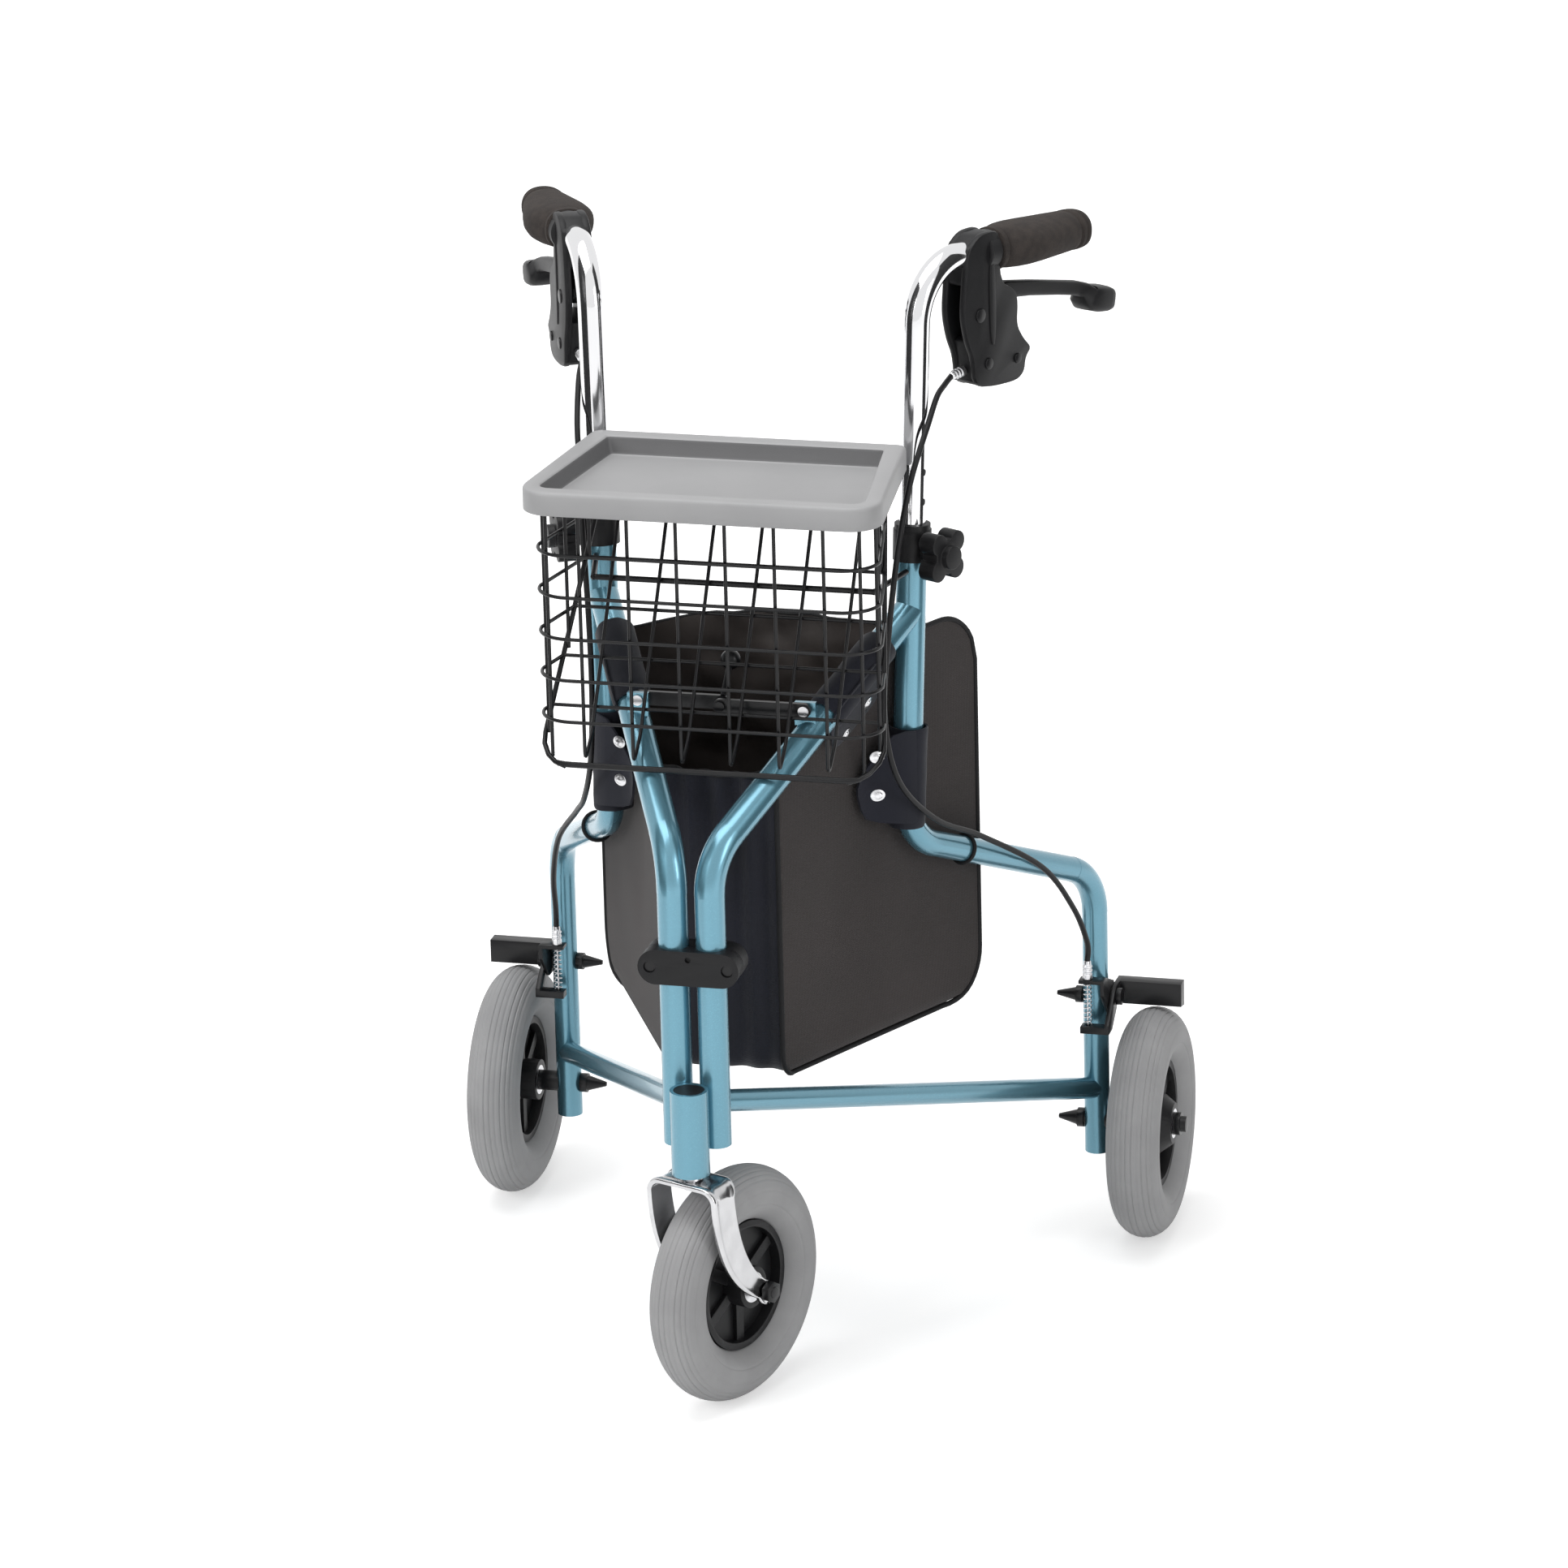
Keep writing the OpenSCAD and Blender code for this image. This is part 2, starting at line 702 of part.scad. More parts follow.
spring_low = 199 + touch;
spring_r = 3.2;
spring_wire = 0.55;
spring_turns = 9;
spring_pitch = (stop_z - touch - spring_low - 2 * spring_wire) / spring_turns;
echo(spring_gap = spring_pitch - 2 * spring_wire);

// Return spring round the bare end of the brake wire
module brake_spring(s) {
    steps = spring_turns * 8;
    coil = [for (k = [0 : steps]) [
        spring_r * cos(45 * k),
        spring_r * sin(45 * k),
        spring_wire + spring_pitch * k / 8]];
    color(chrome) on_leg(s, spring_low) translate([brake_line[0], brake_line[1], 0])
        sweep(coil, spring_wire, 6);
}

// Axle bolt with its spacer and cap nuts
module rear_axle(s) {
    outer = wheel_out + hub_half;
    color("black") on_leg(s, wheel_r) {
        x_rod(-leg_tube_d / 2 - 4, outer + 8, axle_d);
        difference() {
            x_rod(leg_tube_d / 2 - 3, wheel_out - hub_half - touch, axle_d + 8);
            translate([0, 0, -40]) cylinder(d = leg_tube_d, h = 80);
        }
        x_rod(outer + touch, outer + 6, 20);
        x_rod(outer + 6, outer + 11, 14);
        acorn(-leg_tube_d / 2 - 0.2, 17);
    }
}

// Cable route in the side frame, from the lever housing to the stop on the leg
barrel_top = [0, corner[0] + 56.8, corner[1] - 104];
barrel_way = [0, -0.9966, -0.083];
barrel_len = 17;
wire_len = 50;
stop_at = [brake_line[0] * cos(open_angle) - brake_line[1] * sin(open_angle),
    leg_d + brake_line[0] * sin(open_angle) + brake_line[1] * cos(open_angle), stop_z + stop_t];
by_upright = [
    [5, 56, 386], [10, 39.5, 380], [15.5, 20.6, 361], [19, 5, 343], [21, -11.4, 316], [24, -31, 267],
    [24, -45, 198], [25, -54, 130], [25, -38, 68], [22, 13, 18], [17, 79, -17]];
cable_route = [
    barrel_top + barrel_way * barrel_len,
    for (p = by_upright) [0, foot_d, foot_z] + p,
    [19, leg_d - 95, 367], [17, leg_d - 51, 317], stop_at + [0, 0, 34], stop_at + [0, 0, 17]];

module brake_cable(s) {
    color("black") on_side(s) {
        sweep(smooth(cable_route, 5), cable_d / 2, 8);
        translate(barrel_top + barrel_way * 0.6) along_way(barrel_way)
            cylinder(d = 9, h = barrel_len - 0.6);
        translate(stop_at) cylinder(d = 8, h = 17);
        translate(stop_at + [0, 0, -wire_len]) cylinder(d = 1.6, h = wire_len);
    }
}

module along_way(way) {
    rotate([0, acos(way[2] / norm(way)), atan2(way[1], way[0])]) children();
}

// Handles

handle_line = [
    [foot_d + handle_low * sin(upright_lean), foot_z + handle_low * cos(upright_lean)],
    corner,
    corner + (grip_start + grip_len - 10) * [cos(grip_drop), -sin(grip_drop)]];

hole_pitch = 25.4;
hole_top = upright_len + 50;
holes = 6;

// Handle tube with a row of height holes on its outer side
module handle_tube(s) {
    color(chrome) {
        difference() {
            on_side(s) tube_straight(handle_line, 0, handle_d, frame_wall, handle_bend_r);
            for (k = [0 : holes - 1]) on_upright(s, hole_top - k * hole_pitch) x_rod(0, handle_d, hole_d);
        }
        on_side(s) {
            tube_bend(handle_line, 1, handle_d, frame_wall, handle_bend_r);
            tube_straight(handle_line, 1, handle_d, frame_wall, handle_bend_r);
        }
    }
}

// Foam grip that widens under the palm
module grip(s) {
    neck = 0.3 * grip_len;
    color("dimgray") on_grip(s, grip_start) difference() {
        hull() {
            cylinder(r = grip_r - 1, h = 1, $fn = 32);
            for (x = [-1, 1]) translate([x * grip_wing, 0, neck])
                cylinder(r = grip_r, h = 0.85 * grip_len - neck, $fn = 32);
            for (x = [-1, 1]) translate([x * grip_wing / 3, 0, grip_len - 1])
                cylinder(r = grip_r - 1, h = 1, $fn = 32);
        }
        translate([0, 0, -1]) cylinder(d = handle_d + 0.1, h = grip_len - 9 + 0.1);
    }
}

// Outline of the lever housing from the handle's corner
housing_line = [
    [50, 2], [66, 13], [84, 13], [92, 9], [92, -33], [112, -44], [115, -56], [113, -75], [121, -88],
    [132, -99], [124, -106], [122, -118], [112, -124], [82, -122], [58, -117], [56, -93], [48, -76],
    [43, -53], [46, -27]];
lever_at = [64, -56];
lever_t = 11;
lever_pin_d = 6;

module housing_frame(s) {
    on_side(s) translate([0, corner[0], corner[1]]) children();
}

module brake_housing(s) {
    color("black") housing_frame(s) difference() {
        plate_yz(-housing_w / 2, housing_w / 2) polygon(housing_line);
        translate([0, -corner[0], -corner[1]]) bent_rod(handle_line, handle_d / 2 + 0.05, handle_bend_r);
        difference() {
            plate_yz(-lever_t / 2 - touch, lever_t / 2 + touch) polygon([
                lever_at + [-14, -16], lever_at + [30, -16], lever_at + [100, -36],
                lever_at + [100, 32], lever_at + [-14, 26]]);
            translate([0, lever_at[0], lever_at[1]]) x_rod(-housing_w / 2, housing_w / 2, lever_pin_d);
        }
    }
}

// Hand lever: a slim arm from the pin, with a broad rounded end under the fingers
module brake_lever(s) {
    color("black") housing_frame(s) translate([0, lever_at[0], lever_at[1]]) difference() {
        union() {
            x_rod(-lever_t / 2, lever_t / 2, 18);
            plate_yz(-lever_t / 2, lever_t / 2) polygon([
                [0, 9], [40, 18], [lever_reach - 12, -20], [lever_reach - 12, -33], [45, 3], [0, -9]]);
            translate([0, lever_reach - 22, -31]) x_rod(-13, 13, 22);
            translate([0, lever_reach - 8, -33]) x_rod(-13, 13, 16);
            translate([-13, lever_reach - 22, -41]) cube([26, 14, 16]);
        }
        x_rod(-housing_w, housing_w, lever_pin_d + 2 * run_fit);
    }
}

// Fold bar

link_len = hinge_half + link_d * sin(open_angle);
link_t = 4;
link_skip = 0.4;
link_bolt_d = 6;
link_head_d = 9;
link_head_t = 2;

// Flat link from its end bolt to past the middle, front face at y0
module link_plate(y0) {
    translate([0, y0 + link_t, 0]) rotate([90, 0, 0]) linear_extrude(link_t) difference() {
        union() {
            circle(d = link_h);
            translate([-link_len, 0]) circle(d = link_h);
            translate([-link_len, -link_h / 2]) square([link_len, link_h]);
        }
        circle(d = link_bolt_d + 2 * run_fit);
    }
}

right_link_y = -link_skip - link_t;
left_link_y = tab_t + link_skip;

module fold_link_right() {
    color("black") on_link(1) {
        link_plate(right_link_y);
        translate([-link_len, 0, 0]) y_rod(right_link_y - 2.5, right_link_y, 9);
    }
}

// The rear link carries the pull knob on a stem that leans back
module fold_link_left() {
    color("black") on_link(-1) {
        link_plate(left_link_y);
        translate([-link_len, left_link_y + link_t / 2, link_h / 2 - 1]) rotate([-50, 0, 0]) {
            cylinder(d = 5, h = 34);
            translate([0, 0, 36]) sphere(d = 17);
        }
    }
}

module link_bolt(s) {
    front = s > 0 ? right_link_y - link_skip : 0;
    rear = s > 0 ? tab_t : left_link_y + link_t + link_skip;
    color(chrome) on_link(s) {
        y_rod(front - link_head_t, rear + link_head_t, link_bolt_d);
        y_rod(front - link_head_t, front, link_head_d);
        y_rod(rear, rear + link_head_t, link_head_d);
    }
}

// Basket: flat mesh panels, the sides cut to the slope of the frame

tray_rim = 17;
tray_wall = 3;
tray_deep = 16;
tray_floor = tray_z - tray_deep;
basket_top = tray_floor - tray_wall - touch;
basket_corner = 30;
basket_rear_y = 214;
basket_rear_half = 118;
tube_top = frame_tube_d / 2 * norm([1 / cos(diag_rise), tan(open_angle) * tan(diag_rise)]);
function diag_over(y) = diag_foot + y / cos(open_angle) * tan(diag_rise) + tube_top + 0.4;
floor_rear_y = basket_front_y + 31;
floor_rise = atan2(diag_over(floor_rear_y) - diag_over(basket_front_y), floor_rear_y - basket_front_y);
back_low = [floor_rear_y, diag_over(floor_rear_y) + wire_d];
back_way = [basket_rear_y, basket_top - wire_d] - back_low;

// Outline less a grid of square windows, wires one wire_d wide
module mesh(w, h, nx, nz) {
    pitch_x = (w - wire_d) / nx;
    pitch_z = (h - wire_d) / nz;
    difference() {
        square([w, h]);
        for (i = [0 : nx - 1], k = [0 : nz - 1])
            translate([wire_d + i * pitch_x, wire_d + k * pitch_z])
            square([pitch_x - wire_d, pitch_z - wire_d]);
    }
}

module basket_front() {
    low = diag_over(basket_front_y + wire_d) + touch;
    high = basket_top - low;
    half = basket_half - basket_corner;
    slant = basket_corner * sqrt(2);
    color("black") on_centre() {
        translate([-half, basket_front_y + wire_d, low]) rotate([90, 0, 0]) linear_extrude(wire_d)
            mesh(2 * half, high, 5, 6);
        for (s = [0, 1]) mirror([s, 0, 0]) difference() {
            translate([half + touch, basket_front_y + touch, low]) rotate([0, 0, 45])
                translate([0, wire_d, 0]) rotate([90, 0, 0]) linear_extrude(wire_d) mesh(slant, high, 1, 6);
            basket_below();
        }
    }
}

// Space under the basket's floor and slanted back
module basket_below() {
    plate_yz(-200, 200) polygon([
        [0, 300], [0, diag_over(0)], [floor_rear_y, diag_over(floor_rear_y) + 2 * wire_d + 1],
        [basket_rear_y + 40, basket_top + 40 * back_way[1] / back_way[0]], [basket_rear_y + 40, 300]]);
}

module basket_sides() {
    long = norm([basket_rear_y - basket_front_y - basket_corner, basket_half - basket_rear_half]);
    lean = atan2(basket_half - basket_rear_half, basket_rear_y - basket_front_y - basket_corner);
    low = diag_over(basket_front_y);
    color("black") on_centre() for (s = [0, 1]) mirror([s, 0, 0]) difference() {
        translate([basket_half, basket_front_y + basket_corner + 1, low]) rotate([0, 0, 90 + lean])
            rotate([90, 0, 0]) linear_extrude(wire_d) mesh(long, basket_top - low, 4, 6);
        basket_below();
    }
}

// Floor along the diagonals and back up to the rim
module basket_back() {
    floor_y = basket_front_y + wire_d * (1 + sin(floor_rise)) + touch;
    floor_long = (floor_rear_y - floor_y) / cos(floor_rise);
    color("black") on_centre() {
        translate([0, floor_y, diag_over(floor_y)]) rotate([floor_rise, 0, 0])
            translate([-basket_half + basket_corner, 0, 0]) linear_extrude(wire_d)
            mesh(2 * (basket_half - basket_corner), floor_long, 5, 1);
        translate([0, back_low[0], back_low[1]]) rotate([atan2(back_way[1], back_way[0]), 0, 0])
            linear_extrude(wire_d) difference() {
                polygon([[-basket_half + 8, 0], [basket_half - 8, 0],
                    [basket_rear_half, norm(back_way)], [-basket_rear_half, norm(back_way)]]);
                for (i = [-3 : 2], k = [0 : 5]) translate([i * 38 + wire_d / 2, 4 + k * 38])
                    square([38 - wire_d, 38 - wire_d]);
            }
    }
}

hanger_u = 238;
hanger_d = 5;
hanger_ball = hanger_d + 0.6;

// Heavy wire behind the basket, with arms that lean on the uprights
module basket_hanger() {
    arm_y = foot_d + hanger_u * sin(upright_lean);
    at_z = foot_z + hanger_u * cos(upright_lean);
    end = [hinge_half + arm_y * sin(open_angle), arm_y * cos(open_angle)];
    y0 = back_low[0] + (at_z - back_low[1]) * back_way[0] / back_way[1]
        + (hanger_ball / 2 + 0.05) * norm(back_way) / back_way[1];
    x0 = end[0] - 14;
    arm_long = end[1] - y0 - frame_tube_d / 2 - collar_wall - touch;
    color("black") on_centre() translate([0, y0, at_z]) {
        x_rod(-x0, x0, hanger_d);
        for (s = [-1, 1]) translate([s * x0, 0, 0]) {
            sphere(d = hanger_ball);
            rotate([0, 0, s * -atan2(14, arm_long)]) y_rod(0, arm_long, hanger_d);
        }
    }
}

// Tray

// Corner points of the tray's outline, grown by g
function tray_line(g) = [
    [-tray_rear_half - g, tray_rear + g], [-tray_front_half - g, tray_front - g],
    [tray_front_half + g, tray_front - g], [tray_rear_half + g, tray_rear + g]];

function corner_arc(before, at, after, r) =
    let (u = unit(before - at))
    let (v = unit(after - at))
    let (half = acos(u * v) / 2)
    let (mid = at + unit(u + v) * r / sin(half))
    let (from = at + u * r / tan(half) - mid)
    let (to = at + v * r / tan(half) - mid)
    let (turn = turn_of(from, to))
    [for (k = [0 : 6]) let (a = atan2(from[1], from[0]) + turn * k / 6) mid + r * [cos(a), sin(a)]];

// Tray outline with round corners, larger in front
module tray_shape(g) {
    p = tray_line(g);
    r = [10, 26, 26, 10];
    polygon([for (i = [0 : 3]) each corner_arc(p[(i + 3) % 4], p[i], p[(i + 1) % 4], max(r[i] + g, 4))]);
}

module tray() {
    color("silver") on_centre() difference() {
        translate([0, 0, tray_z - tray_skirt]) linear_extrude(tray_skirt) tray_shape(0);
        translate([0, 0, tray_floor]) linear_extrude(40) tray_shape(-tray_rim);
        translate([0, 0, tray_z - tray_skirt - 1])
            linear_extrude(tray_floor - tray_wall - tray_z + tray_skirt + 1) tray_shape(-tray_wall);
        translate([0, 0, tray_z - tray_skirt - 1]) linear_extrude(tray_skirt - tray_wall + 1) difference() {
            tray_shape(-tray_wall);
            tray_shape(-tray_rim + tray_wall);
        }
    }
}

// Bag: open mouth, stiff sides just inside the two side frames

bag_wall = 3;
function side_xy(x, y) = [
    hinge_half + y * sin(open_angle) + x * cos(open_angle),
    y * cos(open_angle) - x * sin(open_angle)];

module bag_plan(inset) {
    front = side_xy(-bag_off - inset, bag_front);
    rear = side_xy(-bag_off - inset, bag_rear);
    side = (rear[0] - front[0]) / (rear[1] - front[1]);
    y0 = front[1] + inset;
    y1 = rear[1] - inset;
    x0 = front[0] + side * (y0 - front[1]);
    x1 = front[0] + side * (y1 - front[1]);
    polygon([[-x0, y0], [x0, y0], [x1, y1], [-x1, y1]]);
}

module bag() {
    front = side_xy(-bag_off, bag_front)[1];
    rear = side_xy(-bag_off, bag_rear)[1];
    front_top = min(diag_foot + bag_front * tan(diag_rise) - 8, bag_top + 1);
    slope_end = max((bag_top + 8 - diag_foot) / tan(diag_rise) * cos(open_angle), front);
    color([0.22, 0.2, 0.2]) on_centre() intersection() {
        difference() {
            translate([0, 0, bag_low]) linear_extrude(bag_top - bag_low) bag_plan(0);
            translate([0, 0, bag_low + bag_wall]) linear_extrude(bag_top) bag_plan(bag_wall);
        }
        plate_yz(-300, 300) polygon([
            [front - 1, bag_low + 12], [front + 40, bag_low - 1], [rear - 30, bag_low - 1],
            [rear + 1, bag_low + 24], [rear + 1, bag_top + 1], [slope_end, bag_top + 1],
            [front - 1, front_top]]);
    }
}

head_tube();
hinge_lugs();
headset_bearings();
head_cap();
hinge_bracket_front();
hinge_bracket_rear();
hinge_bracket_bolts();
bag();
caster_fork();
fork_stem();
front_axle();
front_tyre();
front_rim();
front_bearings();
front_tube(1);  // front_tube_right
upright(1);  // upright_right
rear_leg(1);  // rear_leg_right
cross_tube(1);  // cross_tube_right
clamp_collar(1);  // clamp_collar_right
link_bolt(1);  // link_bolt_right
brake_bracket(1);  // brake_bracket_right
rear_axle(1);  // rear_axle_right
brake_spring(1);  // brake_spring_right
brake_cable(1);  // brake_cable_right
front_tube(-1);  // front_tube_left
upright(-1);  // upright_left
rear_leg(-1);  // rear_leg_left
cross_tube(-1);  // cross_tube_left
clamp_collar(-1);  // clamp_collar_left
link_bolt(-1);  // link_bolt_left
brake_bracket(-1);  // brake_bracket_left
rear_axle(-1);  // rear_axle_left
brake_spring(-1);  // brake_spring_left
brake_cable(-1);  // brake_cable_left
rear_tyre(1);  // rear_tyre_right
rear_rim(1);  // rear_rim_right
rear_bearings(1);  // rear_bearings_right
rear_tyre(-1);  // rear_tyre_left
rear_rim(-1);  // rear_rim_left
rear_bearings(-1);  // rear_bearings_left
handle_tube(1);  // handle_tube_right
grip(1);  // grip_right
brake_housing(1);  // brake_housing_right
handle_tube(-1);  // handle_tube_left
grip(-1);  // grip_left
brake_housing(-1);  // brake_housing_left
brake_lever(1);  // brake_lever_right
clamp_knob(1);  // clamp_knob_right
brake_arm(1);  // brake_arm_right
brake_lever(-1);  // brake_lever_left
clamp_knob(-1);  // clamp_knob_left
brake_arm(-1);  // brake_arm_left
fold_link_right();
fold_link_left();
basket_front();
basket_sides();
basket_back();
basket_hanger();
tray();
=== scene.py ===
# %% [markdown]
# # A three wheel rollator, dressed
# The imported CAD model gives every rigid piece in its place. This lesson sets the camera and the
# light, gives each piece its finish, and then makes the shapes that a CAD kernel leaves plain:
# ribbed tyres, round basket wires, the cloth bag, foam grips and moulded plastic.

# %% Load the frame
import json
import math

import bmesh
import bpy
from mathutils import Matrix, Vector, noise


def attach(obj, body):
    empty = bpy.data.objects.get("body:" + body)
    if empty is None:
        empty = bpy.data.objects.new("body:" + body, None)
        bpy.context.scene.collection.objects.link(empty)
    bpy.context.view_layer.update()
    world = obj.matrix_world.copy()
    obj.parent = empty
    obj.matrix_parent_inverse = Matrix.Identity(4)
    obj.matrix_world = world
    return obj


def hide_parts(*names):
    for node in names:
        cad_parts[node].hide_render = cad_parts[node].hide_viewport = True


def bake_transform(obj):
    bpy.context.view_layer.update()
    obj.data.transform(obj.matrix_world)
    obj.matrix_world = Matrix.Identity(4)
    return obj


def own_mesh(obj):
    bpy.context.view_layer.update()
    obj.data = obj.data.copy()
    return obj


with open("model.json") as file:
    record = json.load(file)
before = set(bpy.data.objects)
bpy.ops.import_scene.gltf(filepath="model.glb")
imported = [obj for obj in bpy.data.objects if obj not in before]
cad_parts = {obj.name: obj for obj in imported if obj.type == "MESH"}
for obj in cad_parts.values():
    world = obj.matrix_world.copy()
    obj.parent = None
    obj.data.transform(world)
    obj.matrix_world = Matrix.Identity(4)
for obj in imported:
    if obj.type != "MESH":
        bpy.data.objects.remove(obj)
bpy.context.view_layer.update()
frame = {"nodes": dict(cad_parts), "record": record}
nodes = frame["nodes"]

# %% [markdown]
# ## Places
# The CAD works in millimetres on three driving frames: the middle of the object, each side frame,
# which opens like a door about its front tube, and the caster. The same few sizes are repeated
# here, so that every new piece is placed by the maker's own measures and not by eye.

# %% Driving sizes, in millimetres
MM = 0.001
OPEN = math.radians(26.5)
HINGE_HALF = 16.0
TUBE_R = 12.7
LEG_R = 11.1
WHEEL_R = 101.5
TYRE_R = 23.5
TYRE_RING = WHEEL_R - TYRE_R
RIM_R = 56.0
TRAIL = 54.0
CASTER_TURN = math.radians(22)
LEG_D = 503.0
HEAD_R, HEAD_GAP = 16.0, 0.5
STEM_Y = -math.sqrt((HEAD_R + TUBE_R + HEAD_GAP) ** 2 - HINGE_HALF ** 2)
LEG_X = HINGE_HALF + LEG_D * math.sin(OPEN)
LEG_Y = LEG_D * math.cos(OPEN)
FRONT_REACH = STEM_Y + (TRAIL - TYRE_RING) * math.cos(CASTER_TURN) - TYRE_R
CENTRE_Y = (LEG_Y + WHEEL_R + FRONT_REACH) / 2
DIAG_FOOT, DIAG_RISE = 486.0, math.radians(29.5)
FOOT_D, FOOT_Z, LEAN = 251.0, 434.0, math.radians(3.5)
ARM_DROP = math.radians(22.5)
CORNER_U, GRIP_DROP = 495.0, math.radians(4)
CORNER = (FOOT_D + CORNER_U * math.sin(LEAN), FOOT_Z + CORNER_U * math.cos(LEAN))
SIDES = {"right": 1, "left": -1}
print("the middle is", round(CENTRE_Y, 2), "mm behind the front tubes")

# %% Points on the driving frames


def middle(x, y, z):
    """Point in metres from millimetres, y counted back from the front tubes."""
    return Vector((x, y - CENTRE_Y, z)) * MM


def on_side(s, x, d, z):
    """Point of a side frame: x out of its plane, d back along it, z up."""
    return middle(s * (HINGE_HALF + d * math.sin(OPEN) + x * math.cos(OPEN)),
                  d * math.cos(OPEN) - x * math.sin(OPEN), z)


def on_upright(s, x, y, u):
    """Point along an upright: u up its axis from the foot, y behind the axis."""
    return on_side(s, x, FOOT_D + u * math.sin(LEAN) + y * math.cos(LEAN),
                   FOOT_Z + u * math.cos(LEAN) - y * math.sin(LEAN))


def arm_z(d):
    """Height of the rear arm's axis at distance d."""
    return FOOT_Z - (d - FOOT_D) * math.tan(ARM_DROP)


def on_leg(s, x, y, z):
    """Point by the rear leg: x outwards and y back, both along the object's axes."""
    return middle(s * (LEG_X + x), LEG_Y + y, z)


def on_fork(x, y, z):
    """Point of the caster: y from its stem towards the axle."""
    c, k = math.cos(CASTER_TURN), math.sin(CASTER_TURN)
    return middle(x * c + y * k, STEM_Y - x * k + y * c, z)


def on_grip(s, x, up, t):
    """Point of a handle: t along the grip from the tube's corner, up across it."""
    c, k = math.cos(GRIP_DROP), math.sin(GRIP_DROP)
    return on_side(s, x, CORNER[0] + t * c + up * k, CORNER[1] - t * k + up * c)


def ring_points(r, count):
    """(a, b) points round a circle."""
    turns = (math.tau * k / count for k in range(count))
    return [(r * math.cos(turn), r * math.sin(turn)) for turn in turns]


print("handle corner", [round(v, 3) for v in on_grip(1, 0, 0, 0)])

# %% [markdown]
# ## Camera
# A product photograph is taken from far away with a long lens. The camera here was fitted to the
# tubes and wheels of known size: about seven metres away, a little above, and turned to one side.

# %% Camera
AZIMUTH, ELEVATION, ROLL = (math.radians(a) for a in (14.64, 19.14, -1.45))
DISTANCE = 7322.0
FOCAL_SHARE = 10558.0 / 1932.0
SENSOR = 36.0
AIM = (3.9, 297.2, 449.6)

back = Vector((math.sin(AZIMUTH) * math.cos(ELEVATION), -math.cos(AZIMUTH) * math.cos(ELEVATION),
               math.sin(ELEVATION)))
level = (-back).cross(Vector((0, 0, 1))).normalized()
above = level.cross(-back)
right = level * math.cos(ROLL) + above * math.sin(ROLL)
up = above * math.cos(ROLL) - level * math.sin(ROLL)
eye = middle(*AIM) + back * DISTANCE * MM
camera = bpy.data.objects.new("camera", bpy.data.cameras.new("camera"))
camera.matrix_world = Matrix((right, up, back)).transposed().to_4x4()
camera.matrix_world.translation = eye
camera.data.sensor_width = SENSOR
camera.data.lens = SENSOR * FOCAL_SHARE
camera.data.clip_end = 100
bpy.context.scene.collection.objects.link(camera)
bpy.context.scene.camera = camera
print("camera at", [round(v, 2) for v in eye], "lens", round(camera.data.lens, 1), "mm")

# %% [markdown]
# ## Studio
# The object stands on a white floor under a big soft light, with smaller ones in front and at the
# side. Chrome only looks like chrome when it has something dark to mirror, so black cards stand
# outside the picture, one on each side. Only mirror rays meet them.

# %% Node helpers
scene = bpy.context.scene
scene.view_settings.view_transform = "Standard"


def combine(tree, operation, a, b):
    """Socket of a math node fed by two sockets."""
    node = tree.nodes.new("ShaderNodeMath")
    node.operation = operation
    tree.links.new(a, node.inputs[0])
    tree.links.new(b, node.inputs[1])
    return node.outputs[0]


def add_node(tree, kind, **settings):
    """New node with its inputs set; an underscore in a name stands for a space."""
    node = tree.nodes.new(kind)
    for name, value in settings.items():
        node.inputs[name.replace("_", " ")].default_value = value
    return node


def seen_rays(tree):
    """Socket that is 1 for rays from the camera, off metal or through glass, and 0 for lighting."""
    path = tree.nodes.new("ShaderNodeLightPath")
    found = path.outputs["Is Camera Ray"]
    for ray in ("Is Glossy Ray", "Is Transmission Ray"):
        found = combine(tree, "MAXIMUM", found, path.outputs[ray])
    return found


def new_material(name, **settings):
    """Material with its node tree and its shader's inputs set."""
    material = bpy.data.materials.new(name)
    material.use_nodes = True
    tree = material.node_tree
    shader = tree.nodes["Principled BSDF"]
    for key, value in settings.items():
        shader.inputs[key.replace("_", " ")].default_value = value
    return material, tree, shader


print("colours shown as", scene.view_settings.view_transform)

# %% Floor and cards


def new_object(name, data):
    """Object with its data, linked to the scene."""
    made = bpy.data.objects.new(name, data)
    scene.collection.objects.link(made)
    return made


def mesh_object(name, verts, faces, *materials):
    """Object from points and faces."""
    mesh = bpy.data.meshes.new(name)
    mesh.from_pydata([tuple(v) for v in verts], [], faces)
    mesh.update()
    for material in materials:
        mesh.materials.append(material)
    return new_object(name, mesh)


def stage_card(name, corners, material):
    """Flat card of the studio, which is no part of the object."""
    card = mesh_object(name, corners, [(0, 1, 2, 3)], material)
    return card


FLOOR = 30.0
GLOW = dict(From_Min=0.6, From_Max=2.2, To_Min=0.46, To_Max=0.8)
WHITE = (1, 1, 1, 1)
floor_white, tree, shader = new_material("floor_white", Base_Color=(0.9, 0.9, 0.9, 1), Roughness=0.9,
                                         Emission_Color=WHITE)
away = tree.nodes.new("ShaderNodeVectorMath")
away.operation = "LENGTH"
fade = add_node(tree, "ShaderNodeMapRange", **GLOW)
tree.links.new(tree.nodes.new("ShaderNodeTexCoord").outputs["Object"], away.inputs[0])
tree.links.new(away.outputs["Value"], fade.inputs["Value"])
